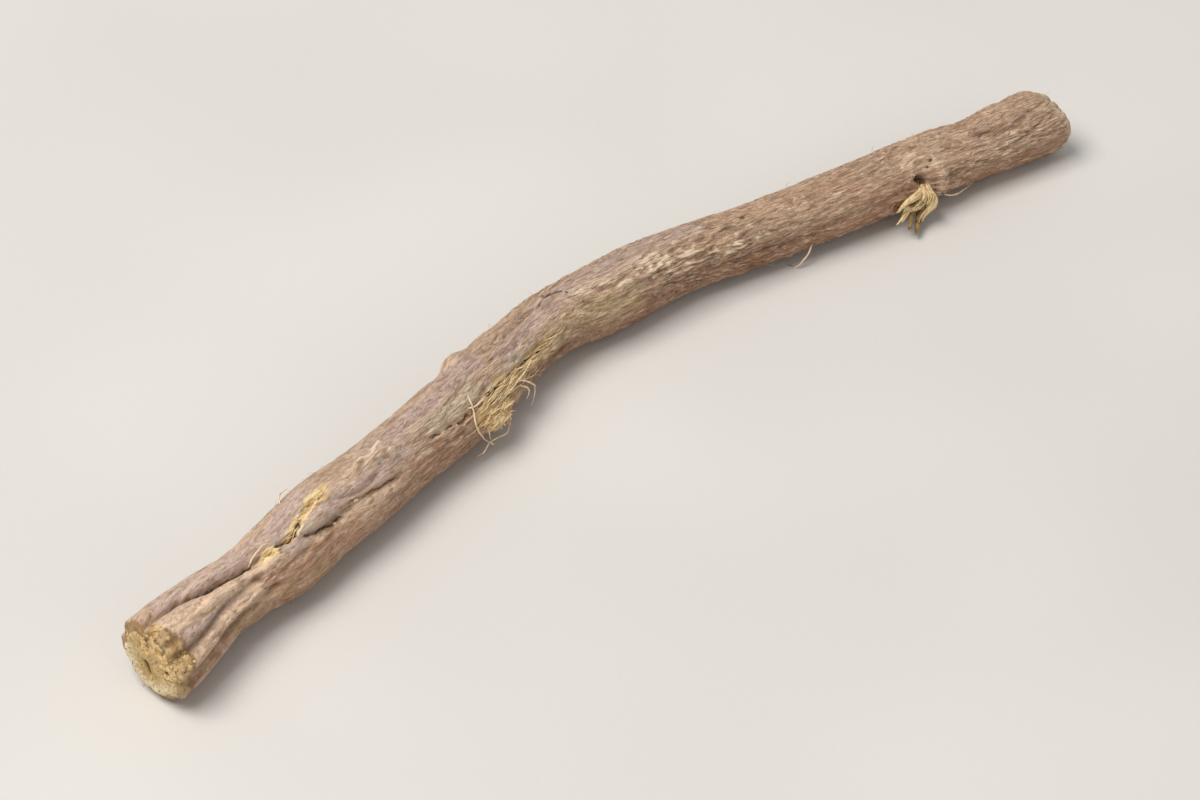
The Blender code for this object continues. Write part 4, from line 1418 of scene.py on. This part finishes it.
def bundle_lines(bundles, draw, stand):
    """The strands of each bundle, which lie side by side and close up towards its tip."""
    lines = []
    for start_radius, end_radius, places in bundles.values():
        points = [Vector(point_on_bark(*place, stand)) for place in places]
        axis = (points[-1] - points[0]).normalized()
        side = axis.orthogonal().normalized()
        up = axis.cross(side)
        for number in range(STRANDS_PER_BUNDLE):
            turn = 2 * math.pi * (number + draw.uniform(0, 0.7)) / STRANDS_PER_BUNDLE
            out = (side * math.cos(turn) + up * math.sin(turn)) * draw.uniform(0.45, 1.0) * MM
            widths = np.linspace(start_radius, end_radius, len(points))
            line = [point + out * width for point, width in zip(points, widths)]
            line[-1] = line[-2].lerp(line[-1], draw.uniform(0.55, 1.25))
            lines.append(line)
    return lines


FLOOR_HALF_WIDTH = 3.0
FLOOR_CELLS = 24
FLOOR_GAP = 0.02 * MM


def make_floor():
    """A large level board, far past what any view sees, a hair's breadth under the root."""
    work = bmesh.new()
    bmesh.ops.create_grid(work, x_segments=FLOOR_CELLS, y_segments=FLOOR_CELLS, size=FLOOR_HALF_WIDTH)
    for vert in work.verts:
        vert.co.z = -FLOOR_GAP
    mesh = bpy.data.meshes.new("floor")
    work.to_mesh(mesh)
    work.free()
    mesh.materials.append(floor_material())
    floor = bpy.data.objects.new("floor", mesh)
    bpy.context.scene.collection.objects.link(floor)


# The camera stands where the photograph's did, for a stick laid level: about 750 mm from its middle. A
# longer lens lets the stick fill the picture.
CAMERA_PLACE = Vector((-392.65, -426.48, 487.4)) * MM
CAMERA_AIM = Vector((-3.3, -2.3, 1.4)) * MM
CAMERA_LENS = 172.0
# A small turn about the line of sight that gives the stick the slope it has in the photograph.
CAMERA_ROLL = math.radians(2.5)


def make_camera():
    """A camera without blur or shift that looks from the photograph's side and height."""
    data = bpy.data.cameras.new("camera")
    data.sensor_width = 36.0
    data.lens = CAMERA_LENS
    data.clip_start = 0.01
    camera = bpy.data.objects.new("camera", data)
    camera.location = CAMERA_PLACE
    camera.rotation_mode = "QUATERNION"
    roll = Quaternion((0, 0, 1), CAMERA_ROLL)
    camera.rotation_quaternion = (CAMERA_AIM - CAMERA_PLACE).to_track_quat("-Z", "Y") @ roll
    bpy.context.scene.collection.objects.link(camera)
    bpy.context.scene.camera = camera


# Soft lamps: place and size in metres, power in watts and colour.
LAMPS = {
    "window": ((-0.5, 0.16, 1.0), (0.8, 0.6), 11.4, "#fffaf4"),
    "front fill": ((-0.4, -1.1, 0.6), (1.2, 0.8), 1.6, "#ffeedd"),
}
SKY_COLOUR = "#f4f5f7"
SKY_STRENGTH = 0.4


def light_the_scene():
    """The soft lamps, and a pale even sky that fills the shadows."""
    for name, (place, size, power, colour) in LAMPS.items():
        lamp = bpy.data.lights.new(name, "AREA")
        lamp.shape = "RECTANGLE"
        lamp.size, lamp.size_y = size
        lamp.energy = power
        lamp.color = to_linear(colour)[:3]
        holder = bpy.data.objects.new(name, lamp)
        holder.location = place
        holder.rotation_mode = "QUATERNION"
        holder.rotation_quaternion = (-Vector(place)).to_track_quat("-Z", "Y")
        bpy.context.scene.collection.objects.link(holder)
    world = bpy.data.worlds.new("studio")
    world.use_nodes = True
    sky = world.node_tree.nodes["Background"]
    sky.inputs["Color"].default_value = to_linear(SKY_COLOUR)
    sky.inputs["Strength"].default_value = SKY_STRENGTH
    bpy.context.scene.world = world
    bpy.context.scene.view_settings.view_transform = "Standard"


def make_root():
    """The root's finished surface, and the fibres, hairs, flecks and crumbs that stand on it."""
    stand = stand_of_solid()
    bark, wood = bark_material(), wood_material()
    straw = fibre_material("bast_fibre", "#bf9a66", "#e3c492", "#f7e4bf")
    fleck = fibre_material("cork_fleck", "#a98f76", "#c4aa8e", "#dac5a8")
    stump = fibre_material("torn_rootlet", "#b4925a", "#dfc48f", "#f3e0b4")
    core = fibre_material("rootlet_core", "#54401f", "#8c703f", "#b59a68")
    crumb = fibre_material("wood_crumb", "#b89760", "#ceb07a", "#e4ca9c")
    hair = fibre_material("loose_bast_thread", "#cdae88", "#e8cfab", "#f8e8cc")

    body = grown("root_surface", bark_tree(bark, wood), fine_surface(stand), {})
    ground = body.data
    finish_piece(body, NODE)

    fuzz = fuzz_tree(straw)
    for name, values in {
        "torn_bast_fibres": {
            "Mask": "patch fibres", "Per Square Millimetre": 1.5, "Shortest": 1.5, "Longest": 4.5,
            "Radius": 0.11, "Swing": 0.13, "Lift": 0.1, "Curl": 0.3, "Seed": 4,
        },
        "fibres_of_the_torn_strip": {
            "Mask": "strip fibres", "Per Square Millimetre": 1.2, "Shortest": 0.8, "Longest": 2.6,
            "Radius": 0.08, "Swing": 0.3, "Lift": 0.2, "Curl": 0.35, "Seed": 9,
        },
        "tuft_under_the_torn_bark": {
            "Mask": "tuft", "Per Square Millimetre": 2.4, "Shortest": 0.8, "Longest": 2.4,
            "Radius": 0.1, "Swing": 1.2, "Lift": 0.3, "Curl": 0.6, "Seed": 7,
        },
        "fine_bark_hairs": {
            "Mask": "fuzz", "Per Square Millimetre": 0.05, "Shortest": 0.5, "Longest": 1.8,
            "Radius": 0.03, "Swing": 0.8, "Lift": 0.4, "Curl": 0.6, "Seed": 12, "Material": fleck,
        },
    }.items():
        finish_piece(grown(name, fuzz, ground.copy(), values))
    bits = fleck_tree(fleck)
    for name, values in {
        "pale_bark_flecks": {
            "Mask": "flecks", "Per Square Millimetre": 0.1, "Smallest": 0.25, "Largest": 0.6,
            "Height": 0.22, "Seed": 5,
        },
        "torn_wood_crumbs": {
            "Mask": "crumbs", "Per Square Millimetre": 0.6, "Smallest": 0.18, "Largest": 0.5,
            "Width": 0.85, "Height": 0.36, "Seed": 8, "Material": crumb,
        },
    }.items():
        finish_piece(grown(name, bits, ground.copy(), values))

    strands = strand_tree(straw)
    lines = [[point_on_bark(*place, stand) for place in places] for places in LOOSE_FIBRES.values()]
    finish_piece(grown("loose_fibres", strands, line_mesh("loose lines", lines), {
        "Radius": 0.13, "Curl": 0.14, "Points": 28, "Sides": 6, "Seed": 2, "Material": hair,
    }))
    draw = np.random.default_rng(ROOTLET_SEED)
    outer = line_mesh("rootlet lines", bundle_lines(ROOTLET_BUNDLES, draw, stand))
    finish_piece(grown("broken_rootlet", strands, outer, {
        "Radius": 0.2, "Curl": 0.12, "Points": 12, "Sides": 6, "Seed": 6, "Material": stump,
    }))
    inner = line_mesh("core lines", bundle_lines(ROOTLET_CORE, draw, stand))
    finish_piece(grown("rootlet_core", strands, inner, {
        "Radius": 0.22, "Curl": 0.16, "Points": 12, "Sides": 6, "Seed": 8, "Material": core,
    }))


make_root()
make_floor()
light_the_scene()
make_camera()
